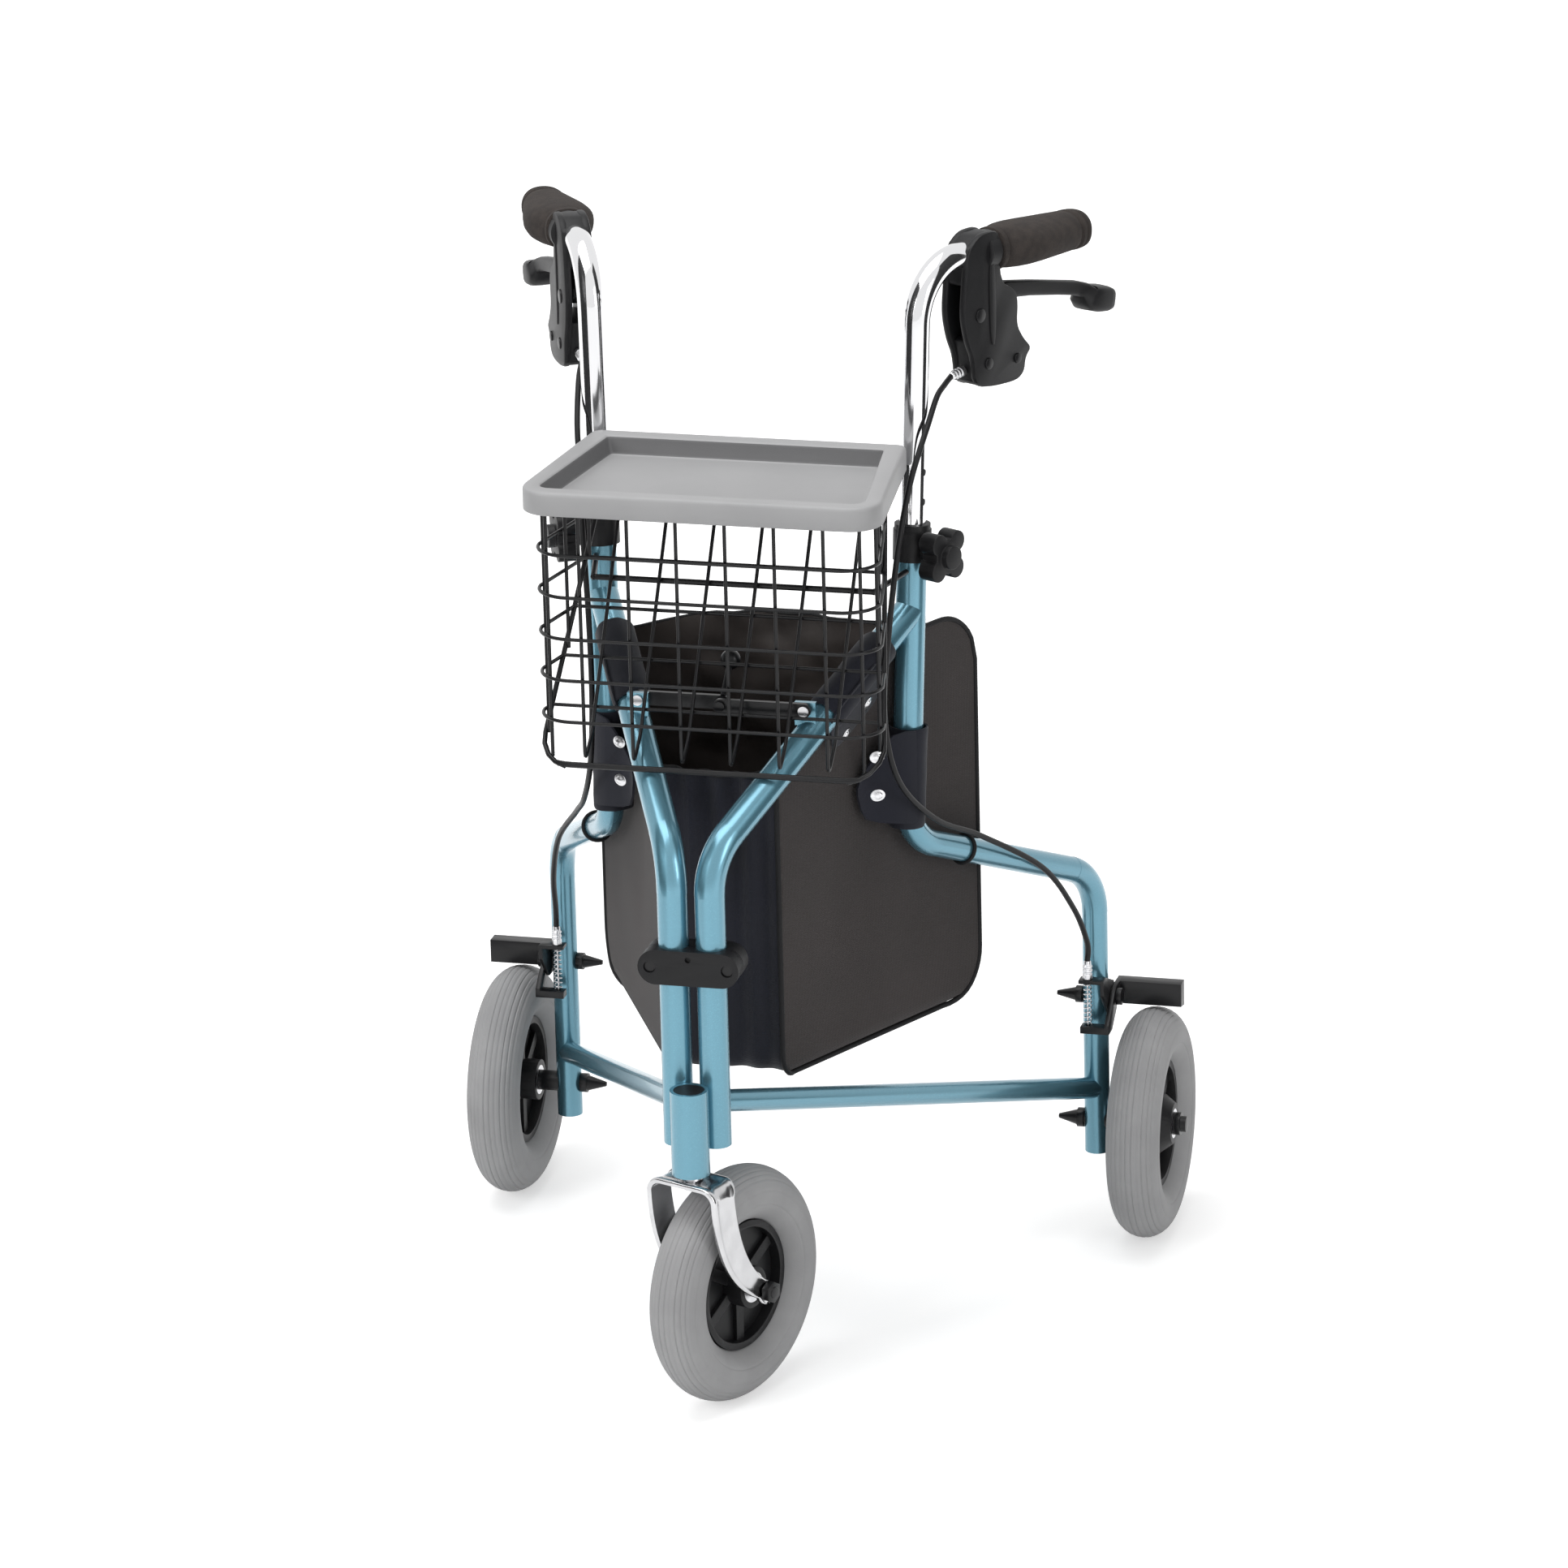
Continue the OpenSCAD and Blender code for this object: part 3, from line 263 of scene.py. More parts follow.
# The floor glows where it is looked at, more so far away, and lights nothing.
glow = combine(tree, "MULTIPLY", fade.outputs["Result"], seen_rays(tree))
tree.links.new(glow, shader.inputs["Emission Strength"])
stage_card("floor", [(-FLOOR, -FLOOR, 0), (FLOOR, -FLOOR, 0), (FLOOR, FLOOR, 0), (-FLOOR, FLOOR, 0)],
           floor_white)
black_card = new_material("black_card", Base_Color=(0.015, 0.015, 0.016, 1), Roughness=0.8)[0]


def round_about(turn, r, z):
    """Point round the object: degrees from the front, distance and height."""
    return (r * math.sin(math.radians(turn)), -r * math.cos(math.radians(turn)), z)


CARD_AWAY, CARD_LOW, CARD_HIGH = 1.9, 0.01, 3.0
for name, a, b in (("card_left", -80, -22), ("card_right", 78, 112)):
    corners = ((a, CARD_LOW), (b, CARD_LOW), (b, CARD_HIGH), (a, CARD_HIGH))
    card = stage_card(name, [round_about(turn, CARD_AWAY, z) for turn, z in corners], black_card)
    card.visible_camera = card.visible_diffuse = card.visible_shadow = False
print("cards stand", CARD_AWAY, "m away")

# %% World and lights
world = bpy.data.worlds.new("studio")
scene.world = world
world.use_nodes = True
WORLD_LIGHT, WORLD_SEEN = 0.38, 1.0
sky = world.node_tree
lit = sky.nodes["Background"]
seen = sky.nodes.new("ShaderNodeBackground")
mix = sky.nodes.new("ShaderNodeMixShader")
sky.links.new(seen_rays(sky), mix.inputs["Fac"])
for k, (node, strength) in enumerate(((lit, WORLD_LIGHT), (seen, WORLD_SEEN)), start=1):
    node.inputs["Color"].default_value = WHITE
    node.inputs["Strength"].default_value = strength
    sky.links.new(node.outputs[0], mix.inputs[k])
sky.links.new(mix.outputs[0], sky.nodes["World Output"].inputs["Surface"])


def soft_box(name, place, aim, size, watts):
    """Large rectangular light at a place, aimed at a point."""
    light = bpy.data.lights.new(name, "AREA")
    light.shape = "RECTANGLE"
    light.size, light.size_y = size
    light.energy = watts
    obj = new_object(name, light)
    obj.location = place
    obj.rotation_euler = (Vector(aim) - Vector(place)).to_track_quat("-Z", "Y").to_euler()


soft_box("top_light", (-0.4, -0.3, 3.4), (0, 0, 0.4), (2.6, 2.6), 60)
soft_box("front_light", (-2.2, -3.2, 2.2), (0, 0, 0.5), (1.6, 2.0), 55)
soft_box("side_light", (3.0, -1.6, 1.6), (0, 0, 0.5), (0.8, 1.8), 22)
print("studio set with", len(bpy.data.lights), "lights")

# %% [markdown]
# ## Finishes
# No real surface is one flat colour. Each finish below mixes two near tones with noise and adds
# a fine bump at the true scale: metal flake under lacquer, moulded plastic grain, foam cells,
# rubber bloom, woven cloth. They read object coordinates, which are the object's own metres.

# %% Finish maker
TONE_STOPS = (0.35, 0.65)


def finish(name, tone, other, rough, metal=0.0, patch=40.0, grain=900.0, bump=0.05, coat=0.0,
           sheen=0.0, shine=0.5):
    """Procedural material: two tones in patches, uneven roughness and a grain bump."""
    material, tree, shader = new_material(
        name, Metallic=metal, Specular_IOR_Level=shine, Coat_Weight=coat, Coat_Roughness=0.08,
        Sheen_Weight=sheen, Sheen_Roughness=0.5)
    place = tree.nodes.new("ShaderNodeTexCoord").outputs["Object"]
    patches = add_node(tree, "ShaderNodeTexNoise", Scale=patch, Detail=4)
    fine = add_node(tree, "ShaderNodeTexNoise", Scale=grain, Detail=3)
    gloss = add_node(tree, "ShaderNodeMapRange", To_Min=rough[0], To_Max=rough[1])
    relief = add_node(tree, "ShaderNodeBump", Strength=bump, Distance=0.001)
    tones = tree.nodes.new("ShaderNodeValToRGB")
    for stop, at, colour in zip(tones.color_ramp.elements, TONE_STOPS, (other, tone)):
        stop.position, stop.color = at, (*colour, 1)
    for out, into in (
        (place, patches.inputs["Vector"]), (place, fine.inputs["Vector"]),
        (patches.outputs["Fac"], tones.inputs["Fac"]), (patches.outputs["Fac"], gloss.inputs["Value"]),
        (fine.outputs["Fac"], relief.inputs["Height"]), (tones.outputs["Color"], shader.inputs["Base Color"]),
        (gloss.outputs["Result"], shader.inputs["Roughness"]),
        (relief.outputs["Normal"], shader.inputs["Normal"]),
    ):
        tree.links.new(out, into)
    return material


def weave(material, per_metre, depth):
    """Adds crossed threads that follow the piece's own UV map, which is in metres."""
    tree = material.node_tree
    uv = tree.nodes.new("ShaderNodeUVMap").outputs["UV"]
    waves = []
    for axis in ("X", "Y"):
        wave = add_node(tree, "ShaderNodeTexWave", Scale=per_metre)
        wave.bands_direction = axis
        tree.links.new(uv, wave.inputs["Vector"])
        waves.append(wave.outputs["Fac"])
    relief = add_node(tree, "ShaderNodeBump", Strength=depth, Distance=0.0006)
    normal = tree.nodes["Principled BSDF"].inputs["Normal"]
    tree.links.new(combine(tree, "MAXIMUM", *waves), relief.inputs["Height"])
    tree.links.new(normal.links[0].from_socket, relief.inputs["Normal"])
    tree.links.new(relief.outputs["Normal"], normal)


# %% Metal and paint
blue_paint = finish("blue_paint", (0.14, 0.325, 0.415), (0.13, 0.31, 0.40), (0.22, 0.30), metal=0.65,
                    patch=2600, grain=420, bump=0.015, coat=0.5)
chrome = finish("chrome", (0.80, 0.80, 0.81), (0.77, 0.775, 0.79), (0.06, 0.09), metal=1.0, patch=8,
                bump=0.001)
# A darker copy of the chrome for the fork: painted shade that stands in for the dim reflections the strip
# shows.
chrome_painted_shade = finish("chrome_painted_shade", (0.62, 0.62, 0.63), (0.55, 0.55, 0.56), (0.14, 0.24), metal=1.0,
                     patch=60, bump=0.01)
silver = finish("silver", (0.72, 0.72, 0.73), (0.62, 0.62, 0.64), (0.22, 0.36), metal=1.0, patch=160,
                bump=0.03)
black_coat = finish("black_coat", (0.009, 0.009, 0.010), (0.007, 0.007, 0.008), (0.26, 0.38), grain=700,
                    bump=0.06, shine=0.3)
print("metal and paint done")

# %% Plastic, rubber and foam
black_plastic = finish("black_plastic", (0.010, 0.010, 0.011), (0.008, 0.008, 0.009), (0.38, 0.5),
                       grain=1400, bump=0.10, shine=0.25)
tyre_rubber = finish("tyre_rubber", (0.36, 0.36, 0.365), (0.31, 0.31, 0.315), (0.62, 0.8), patch=22,
                     grain=700, bump=0.07)
foam = finish("foam", (0.050, 0.042, 0.038), (0.034, 0.029, 0.027), (0.8, 0.95), patch=120, grain=1100,
              bump=0.5, shine=0.25)
tray_plastic = finish("tray_plastic", (0.36, 0.36, 0.365), (0.335, 0.335, 0.34), (0.42, 0.55), patch=14,
                      grain=1200, bump=0.10)
# The recess walls take a darker grey: painted shade for the shadow that falls in the recess.
tray_wall = finish("tray_wall", (0.13, 0.13, 0.133), (0.115, 0.115, 0.118), (0.45, 0.58), patch=14,
                   grain=1200, bump=0.10)
print("plastic, rubber and foam done")

# %% Cloth
bag_cloth = finish("bag_cloth", (0.046, 0.039, 0.038), (0.036, 0.031, 0.030), (0.75, 0.9), patch=9,
                   grain=2200, bump=0.1, sheen=0.15, shine=0.2)
gusset_cloth = finish("gusset_cloth", (0.009, 0.010, 0.018), (0.006, 0.007, 0.012), (0.6, 0.8), patch=12,
                      grain=2200, bump=0.1, sheen=0.12, shine=0.25)
# The lining is lighter than the outer cloth: painted light that lifts the inside of the bag out of the shade
# of the tray and basket.
lining_painted_light = finish("lining_painted_light", (0.062, 0.051, 0.046), (0.044, 0.036, 0.033), (0.45, 0.6), patch=14,
                grain=2200, bump=0.1, sheen=0.2, shine=0.4)
black_binding = finish("black_binding", (0.009, 0.009, 0.010), (0.007, 0.007, 0.008), (0.6, 0.75),
                       grain=1800, bump=0.25, shine=0.25)
weave(bag_cloth, 190, 0.35)
weave(gusset_cloth, 230, 0.3)
print("finishes:", len(bpy.data.materials))

# %% [markdown]
# ## Dress the CAD pieces
# Tubes, bearings, bolts and brackets have the right shape already. They only take a finish.

# %% CAD finishes
CAD_FINISH = {
    "blue_paint": blue_paint, "steel": silver, "black_plastic": black_plastic, "black_steel": black_coat,
    "black_wire": black_coat, "chrome": chrome, "tyre": tyre_rubber, "foam": foam,
    "tray_grey": tray_plastic, "bag_cloth": bag_cloth,
}
for part in frame["record"]["subparts"]:
    mesh = nodes[part["node"]].data
    mesh.materials.clear()
    mesh.materials.append(CAD_FINISH[part["material_slot"]])
print("dressed", len(nodes), "CAD pieces")

# %% [markdown]
# ## Tools for new pieces
# Most of the new pieces are one of three things: a wire that follows a line, a loft through
# rings, or a flat outline with rounded edges. Each gets one small maker. Wires are a Geometry
# Nodes tree, because the same rule, a circle swept along a line, makes dozens of them.

# %% Mesh helpers


def settle(obj):
    """Turns an object's live modifiers into its plain mesh."""
    graph = bpy.context.evaluated_depsgraph_get()
    made = bpy.data.meshes.new_from_object(obj.evaluated_get(graph))
    obj.modifiers.clear()
    obj.data = made
    return obj


def smooth(obj, angle=40):
    """Shades the faces smooth, with edges sharper than the angle kept crisp."""
    for face in obj.data.polygons:
        face.use_smooth = True
    obj.data.set_sharp_from_angle(angle=math.radians(angle))
    return obj


def outward(obj):
    """Merges doubles and points all faces out."""
    work = bmesh.new()
    work.from_mesh(obj.data)
    bmesh.ops.remove_doubles(work, verts=work.verts, dist=1e-6)
    bmesh.ops.recalc_face_normals(work, faces=work.faces)
    work.to_mesh(obj.data)
    work.free()
    return obj


print("mesh helpers ready")

# %% Lofts, slabs and joined pieces


def band(a, b, count):
    """Faces between two rings of points that start at a and b."""
    return [(a + k, a + (k + 1) % count, b + (k + 1) % count, b + k) for k in range(count)]


def loft(name, rings, material, caps=True, angle=40):
    """Closed skin through rings of equal count."""
    count = len(rings[0])
    verts = [p for ring in rings for p in ring]
    faces = []
    for i in range(0, len(verts) - count, count):
        faces += band(i, i + count, count)
    if caps:
        faces += [tuple(range(count))[::-1], tuple(range(len(verts) - count, len(verts)))]
    return smooth(outward(mesh_object(name, verts, faces, material)), angle)


def rounded_edges(obj, width, steps=2, angle=30):
    """Bevels the edges sharper than the angle."""
    bevel = obj.modifiers.new("round", "BEVEL")
    bevel.width, bevel.segments = width, steps
    bevel.limit_method, bevel.angle_limit = "ANGLE", math.radians(angle)
    return smooth(settle(obj))


def slab(name, outline, place, thick, material, bevel):
    """Flat outline of (a, b) points, thickened from -thick/2 to thick/2 and rounded."""
    count = len(outline)
    verts = [place(side * thick / 2, a, b) for side in (-1, 1) for a, b in outline]
    faces = band(0, count, count) + [tuple(range(count))[::-1], tuple(range(count, 2 * count))]
    return rounded_edges(outward(mesh_object(name, verts, faces, material)), bevel * MM)


def join(name, *objs):
    """One object from several."""
    work = bmesh.new()
    materials = []
    for obj in objs:
        first = len(work.faces)
        work.from_mesh(obj.data)
        work.faces.ensure_lookup_table()
        for face in work.faces[first:]:
            material = obj.data.materials[face.material_index]
            if material not in materials:
                materials.append(material)
            face.material_index = materials.index(material)
    mesh = bpy.data.meshes.new(name)
    work.to_mesh(mesh)
    work.free()
    for material in materials:
        mesh.materials.append(material)
    made = new_object(name, mesh)
    for obj in objs:
        bpy.data.objects.remove(obj)
    return made


def seat(obj, body, slot, *replaced):
    """Rides a piece on its body, in place of CAD nodes. The slot is not used."""
    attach(obj, body)
    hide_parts(*replaced)


print("lofts and slabs ready")

# %% Wire tree
wire_tree = bpy.data.node_groups.new("round_wire", "GeometryNodeTree")
sockets = wire_tree.interface
sockets.new_socket("Geometry", in_out="INPUT", socket_type="NodeSocketGeometry")
wire_inputs = {
    "radius": sockets.new_socket("Radius", in_out="INPUT", socket_type="NodeSocketFloat").identifier,
    "sides": sockets.new_socket("Sides", in_out="INPUT", socket_type="NodeSocketInt").identifier,
    "material": sockets.new_socket("Material", in_out="INPUT", socket_type="NodeSocketMaterial").identifier,
}
sockets.new_socket("Geometry", in_out="OUTPUT", socket_type="NodeSocketGeometry")
add = wire_tree.nodes.new
given, result = add("NodeGroupInput"), add("NodeGroupOutput")
line, circle, swept = (add("GeometryNode" + kind) for kind in (
    "MeshToCurve", "CurvePrimitiveCircle", "CurveToMesh"))
shaded, real, dressed = (add("GeometryNode" + kind) for kind in (
    "SetShadeSmooth", "RealizeInstances", "SetMaterial"))
swept.inputs["Fill Caps"].default_value = True
row = (given, line, swept, shaded, real, dressed, result)
for a, b in zip(row, row[1:]):
    wire_tree.links.new(a.outputs[0], b.inputs[0])
for a, b in (
    (given.outputs["Radius"], circle.inputs["Radius"]), (given.outputs["Sides"], circle.inputs["Resolution"]),
    (circle.outputs["Curve"], swept.inputs["Profile Curve"]),
    (given.outputs["Material"], dressed.inputs["Material"]),
):
    wire_tree.links.new(a, b)
print("wire tree has", len(wire_tree.nodes), "nodes")

# %% Wires and rounded lines


def wires(name, lines, radius, material, sides=10):
    """Round wires along lists of points; a line whose ends meet closes on itself."""
    verts, edges = [], []
    for points in lines:
        first = len(verts)
        closed = (points[0] - points[-1]).length < 1e-7
        verts += [tuple(p) for p in (points[:-1] if closed else points)]
        edges += [(i, i + 1) for i in range(first, len(verts) - 1)]
        if closed:
            edges.append((len(verts) - 1, first))
    mesh = bpy.data.meshes.new(name)
    mesh.from_pydata(verts, edges, [])
    obj = new_object(name, mesh)
    modifier = obj.modifiers.new("wire", "NODES")
    modifier.node_group = wire_tree
    modifier[wire_inputs["radius"]] = radius * MM
    modifier[wire_inputs["sides"]] = sides
    modifier[wire_inputs["material"]] = material
    return settle(obj)


def rounded_line(points, r, steps=5):
    """Line through points with its inner corners turned at about radius r."""
    made = [points[0]]
    for before, at, after in zip(points, points[1:], points[2:]):
        u, v = (before - at), (after - at)
        cut = min(r * MM, u.length * 0.45, v.length * 0.45)
        a, b = at + u.normalized() * cut, at + v.normalized() * cut
        made += [a.lerp(at, t).lerp(at.lerp(b, t), t) for t in (k / steps for k in range(steps + 1))]
    return made + [points[-1]]


print("wires ready")

# %% [markdown]
# ## Tyres
# The grey tyres are solid rubber with a round section, fine ribs round the tread and two faint
# mould lines on each wall. A tyre is a section turned round an axle, so one section serves all.

# %% Tyre section and tyres
RIB_STEP = math.radians(12)
RIB_DEPTH = 0.8
TREAD_HALF = math.radians(64)
MOULD_LINES, LINE_DEPTH, LINE_HALF = (1.35, 1.9), 0.5, 0.03
SEAT_HALF = 8.0
SECTION_STEPS, AROUND = 150, 120
WHEEL_OUT = 48.0


def tyre_section():
    """(distance from axle, distance from middle plane) round the section, from rim to rim."""
    end = math.pi - math.asin((SEAT_HALF + 0.3) / TYRE_R)
    section = []
    for k in range(SECTION_STEPS + 1):
        angle = -end + 2 * end * k / SECTION_STEPS
        depth = 0.0
        if abs(angle) < TREAD_HALF:
            depth = RIB_DEPTH * (0.5 - 0.5 * math.cos(math.tau * angle / RIB_STEP)) ** 6
        for wall in MOULD_LINES:
            depth += LINE_DEPTH * math.exp(-((abs(angle) - wall) / LINE_HALF) ** 2)
        r = TYRE_R - depth
        section.append((TYRE_RING + r * math.cos(angle), r * math.sin(angle)))
    return section + [(RIM_R + 0.2, SEAT_HALF), (RIM_R + 0.2, -SEAT_HALF)]


def turned(name, section, place, around, material, angle=40):
    """Turns a closed section round an axle; place takes (x, y, z) with the axle along x."""
    rings = [[place(x, r * c, r * n) for r, x in section] for c, n in ring_points(1, around)]
    return loft(name, rings + rings[:1], material, caps=False, angle=angle)


def on_front_wheel(x, y, z):
    """Point from the middle of the front wheel."""
    return on_fork(x, TRAIL + y, WHEEL_R + z)


def on_rear_wheel(s, x, y, z):
    """Point from the middle of a rear wheel."""
    return on_leg(s, WHEEL_OUT + x, y, WHEEL_R + z)


tyre = turned("front_tyre_ribbed", tyre_section(), on_front_wheel, AROUND, tyre_rubber, 35)
seat(tyre, "front_wheel", "tyre", "front_tyre")
for side, s in SIDES.items():
    tyre = turned(f"rear_tyre_ribbed_{side}", tyre_section(), lambda *p: on_rear_wheel(s, *p), AROUND,
                  tyre_rubber, 35)
    seat(tyre, f"rear_wheel_{side}", "tyre", f"rear_tyre_{side}")
print("tyres:", len(tyre_section()), "points round the section")

# %% [markdown]
# ## Basket
# The basket is welded from round black wire: hoops that run round the sides at even heights,
# wires that drop down the front, turn along the floor and climb the slanted back, and a
# thicker rim. Its floor follows the slope of the frame's diagonals, so it tapers to a wedge.

# %% Basket measures
BASKET_TOP = 758.7
BASKET_FRONT, BASKET_REAR = 56.5, 214.0
BASKET_HALF, BASKET_REAR_HALF, BASKET_ROUND = 144.8, 119.0, 30.0
TUBE_TOP = TUBE_R * math.hypot(1 / math.cos(DIAG_RISE), math.tan(OPEN) * math.tan(DIAG_RISE))
FLOOR_SLOPE = math.tan(DIAG_RISE) / math.cos(OPEN)
FLOOR_REAR, FLOOR_GAP = 87.0, 2.9


def floor_z(y):
    """Height of the basket's floor at y, just above the diagonals."""
    return DIAG_FOOT + y * FLOOR_SLOPE + TUBE_TOP + FLOOR_GAP


BACK_SLOPE = (BASKET_TOP - floor_z(FLOOR_REAR)) / (BASKET_REAR - FLOOR_REAR)


def low_z(y):
    """Lowest height of the basket at y: its floor, then its slanted back."""
    return floor_z(y) if y < FLOOR_REAR else floor_z(FLOOR_REAR) + (y - FLOOR_REAR) * BACK_SLOPE


def reach_y(z):
    """How far back the basket reaches at height z."""
    if z < floor_z(FLOOR_REAR):
        return (z - floor_z(0)) / FLOOR_SLOPE
    return FLOOR_REAR + (z - floor_z(FLOOR_REAR)) / BACK_SLOPE


def half_x(y):
    """Half width of the basket at y, with round front corners."""
    side_start = BASKET_FRONT + BASKET_ROUND
    if y >= side_start:
        taper = BASKET_HALF - BASKET_REAR_HALF
        return BASKET_HALF - taper * (y - side_start) / (BASKET_REAR - side_start)
    return BASKET_HALF - BASKET_ROUND + math.sqrt(max(BASKET_ROUND ** 2 - (side_start - y) ** 2, 0))


def hoop(z):
    """Open hoop at height z, from the back on the left round the front to the back on the right."""
    far = reach_y(z)
    ys = [BASKET_FRONT + BASKET_ROUND * (1 - math.cos(math.radians(a))) for a in range(0, 91, 10)]
    ys = [y for y in ys if y < far] + ([far] if far > BASKET_FRONT else [])
    side_points = [(half_x(y), y) for y in ys]
    return ([middle(-x, y, z) for x, y in side_points[::-1]] + [middle(x, y, z) for x, y in side_points])


print("basket floor falls to", round(floor_z(BASKET_FRONT), 1), "mm")

# %% Basket wires
WIRE_R, EDGE_R = 1.6, 2.2
ROW_STEP, ROWS = 36.0, 6
COLUMN_STEP, COLUMNS, COLUMN_ROUND = 41.5, 6, 9
SIDE_WIRES = (BASKET_FRONT + 9, BASKET_FRONT + BASKET_ROUND, 126.0, 168.0)
EDGE_YS = [BASKET_FRONT + k for k in (0.5, 4, 10, 20, 30)] + [130.0, 170.0, BASKET_REAR]
inside = 2 * WIRE_R
rows = [BASKET_TOP - ROW_STEP * (k + 1) for k in range(ROWS)]
front_low = floor_z(BASKET_FRONT) + WIRE_R
basket_lines = [hoop(z) for z in rows]
for z in rows:
    if z > floor_z(FLOOR_REAR):
        basket_lines.append([middle(k * half_x(reach_y(z)), reach_y(z), z) for k in (-1, 1)])
for k in range(COLUMNS):
    x = COLUMN_STEP * (k - (COLUMNS - 1) / 2)
    basket_lines.append(rounded_line([
        middle(x, BASKET_FRONT + inside, BASKET_TOP), middle(x, BASKET_FRONT + inside, front_low + inside),
        middle(x, FLOOR_REAR - inside, floor_z(FLOOR_REAR) + inside),
        middle(x, BASKET_REAR - inside, BASKET_TOP)], COLUMN_ROUND))
for s in (1, -1):
    for y in SIDE_WIRES:
        basket_lines.append([middle(s * (half_x(y) - inside), y, z) for z in (BASKET_TOP, low_z(y))])
basket = wires("basket_wires", basket_lines, WIRE_R, black_coat, sides=8)

rim_line = hoop(BASKET_TOP)
edge_lines = [rim_line + rim_line[:1]]
for s in (1, -1):
    edge_lines.append([middle(s * half_x(y), y, low_z(y)) for y in EDGE_YS])
edge_lines.append(hoop(front_low))
edges = wires("basket_edges", edge_lines, EDGE_R, black_coat, sides=10)
basket = join("basket_wire_cage", basket, edges)
seat(basket, "basket", "black_wire", "basket_front", "basket_sides", "basket_back")
print("basket:", len(basket_lines) + len(edge_lines), "wires")

# %% [markdown]
# ## Tray
# The tray is one moulding of grey plastic: a skirt that hides the basket's rim, a broad rounded
# rim and a shallow recess. Rings of the same outline, drawn in step by step, make its skin.

# %% Tray
TRAY_TOP, TRAY_SKIRT, TRAY_FLOOR = 780.0, 20.0, 764.0
TRAY_CORNERS = [(-135.0, 229.0, 10.0), (-155.0, 45.0, 26.0), (155.0, 45.0, 26.0), (135.0, 229.0, 10.0)]
ARC, TIGHTEST = 10, 3.0


def tray_outline(inset):
    """Rounded outline of the tray, drawn in by the inset."""
    middle_y = sum(c[1] for c in TRAY_CORNERS) / 4
    drawn = [(x - math.copysign(inset, x), y - math.copysign(inset, y - middle_y), max(r - inset, TIGHTEST))
             for x, y, r in TRAY_CORNERS]
    points = []
    for k, (x, y, r) in enumerate(drawn):
        at = Vector((x, y))
        u = (Vector(drawn[k - 1][:2]) - at).normalized()
        v = (Vector(drawn[(k + 1) % 4][:2]) - at).normalized()
        half = u.angle(v) / 2
        mid = at + (u + v).normalized() * r / math.sin(half)
        a, b = at + u * r / math.tan(half) - mid, at + v * r / math.tan(half) - mid
        turn = a.angle_signed(b)
        for step in range(ARC + 1):
            points.append(mid + Matrix.Rotation(-turn * step / ARC, 2) @ a)
    return points


SKIRT_Z = TRAY_TOP - TRAY_SKIRT
TRAY_PROFILE = [
    (14.5, TRAY_FLOOR - 3), (13.6, TRAY_FLOOR), (13.0, TRAY_TOP - 4), (3.2, TRAY_TOP - 4),
    (3.0, SKIRT_Z + 0.5), (2.4, SKIRT_Z), (0.6, SKIRT_Z), (0.0, SKIRT_Z + 0.6), (0.0, TRAY_TOP - 3.4),
    (0.5, TRAY_TOP - 1.5), (1.5, TRAY_TOP - 0.4), (3.2, TRAY_TOP), (14.0, TRAY_TOP), (15.2, TRAY_TOP - 0.3),
    (16.2, TRAY_TOP - 1.3), (16.8, TRAY_TOP - 3), (18.6, TRAY_FLOOR + 2.6), (19.6, TRAY_FLOOR + 0.9),
    (21.5, TRAY_FLOOR)]
SHADED_WALL_BANDS = (14, 15, 16)
tray_rings = [[middle(p.x, p.y, z) for p in tray_outline(inset)] for inset, z in TRAY_PROFILE]
tray = loft("tray_moulding", tray_rings, tray_plastic, angle=60)
# The bands of the recess walls get the darker finish, which is painted shade.
tray.data.materials.append(tray_wall)
for face in tray.data.polygons:
    if face.index // len(tray_rings[0]) in SHADED_WALL_BANDS:
        face.material_index = 1
seat(tray, "tray", "tray_grey", "tray")
print("tray:", len(tray.data.polygons), "faces")

# %% [markdown]
# ## Grips
# The grips are dark foam, wide and flat under the palm, with a collar towards the brake and a
# ringed end cap. Their sections are ovals that swell and draw in along the tube.

# %% Grips
GRIP_STATIONS = [
    (92.5, 16.0, 16.0), (93.5, 18.4, 18.0), (98, 18.6, 18.2), (99.5, 17.2, 17.0), (101, 18.8, 17.4),
    (107, 22.5, 18.0), (116, 27.0, 18.3), (127, 29.5, 18.2), (142, 29.0, 17.8), (158, 26.5, 17.4),
    (174, 23.5, 17.2), (186, 21.0, 17.0), (192, 20.0, 16.8), (193.5, 18.2, 15.4), (195, 18.2, 15.4),
    (196.5, 19.8, 17.0), (200, 19.6, 17.0), (201.5, 18.2, 16.0), (202.5, 18.2, 16.0), (204, 19.0, 16.8),
    (208, 18.0, 16.2), (210.5, 16.0, 14.6), (212, 13.0, 11.5)]
GRIP_POWER = 0.88


def oval(wide, tall, power, count):
    """(a, b) points round an oval; the lower the power, the squarer it is."""
    return [(wide * math.copysign(abs(c) ** power, c), tall * math.copysign(abs(n) ** power, n))
            for c, n in ring_points(1, count)]


for side, s in SIDES.items():
    rings = [[on_grip(s, a, b, t) for a, b in oval(wide, tall, GRIP_POWER, 40)]
             for t, wide, tall in GRIP_STATIONS]
    grip = loft(f"grip_foam_{side}", rings, foam, angle=50)
    seat(grip, f"handle_{side}", "foam", f"grip_{side}")
print("grips:", len(GRIP_STATIONS), "stations")

# %% [markdown]
# ## Caster fork
# The fork is one chrome strip, bent to a U over the wheel and swept back to the axle. Stations
# along the strip give its front and rear edges; a raised rim along each edge makes it glint.

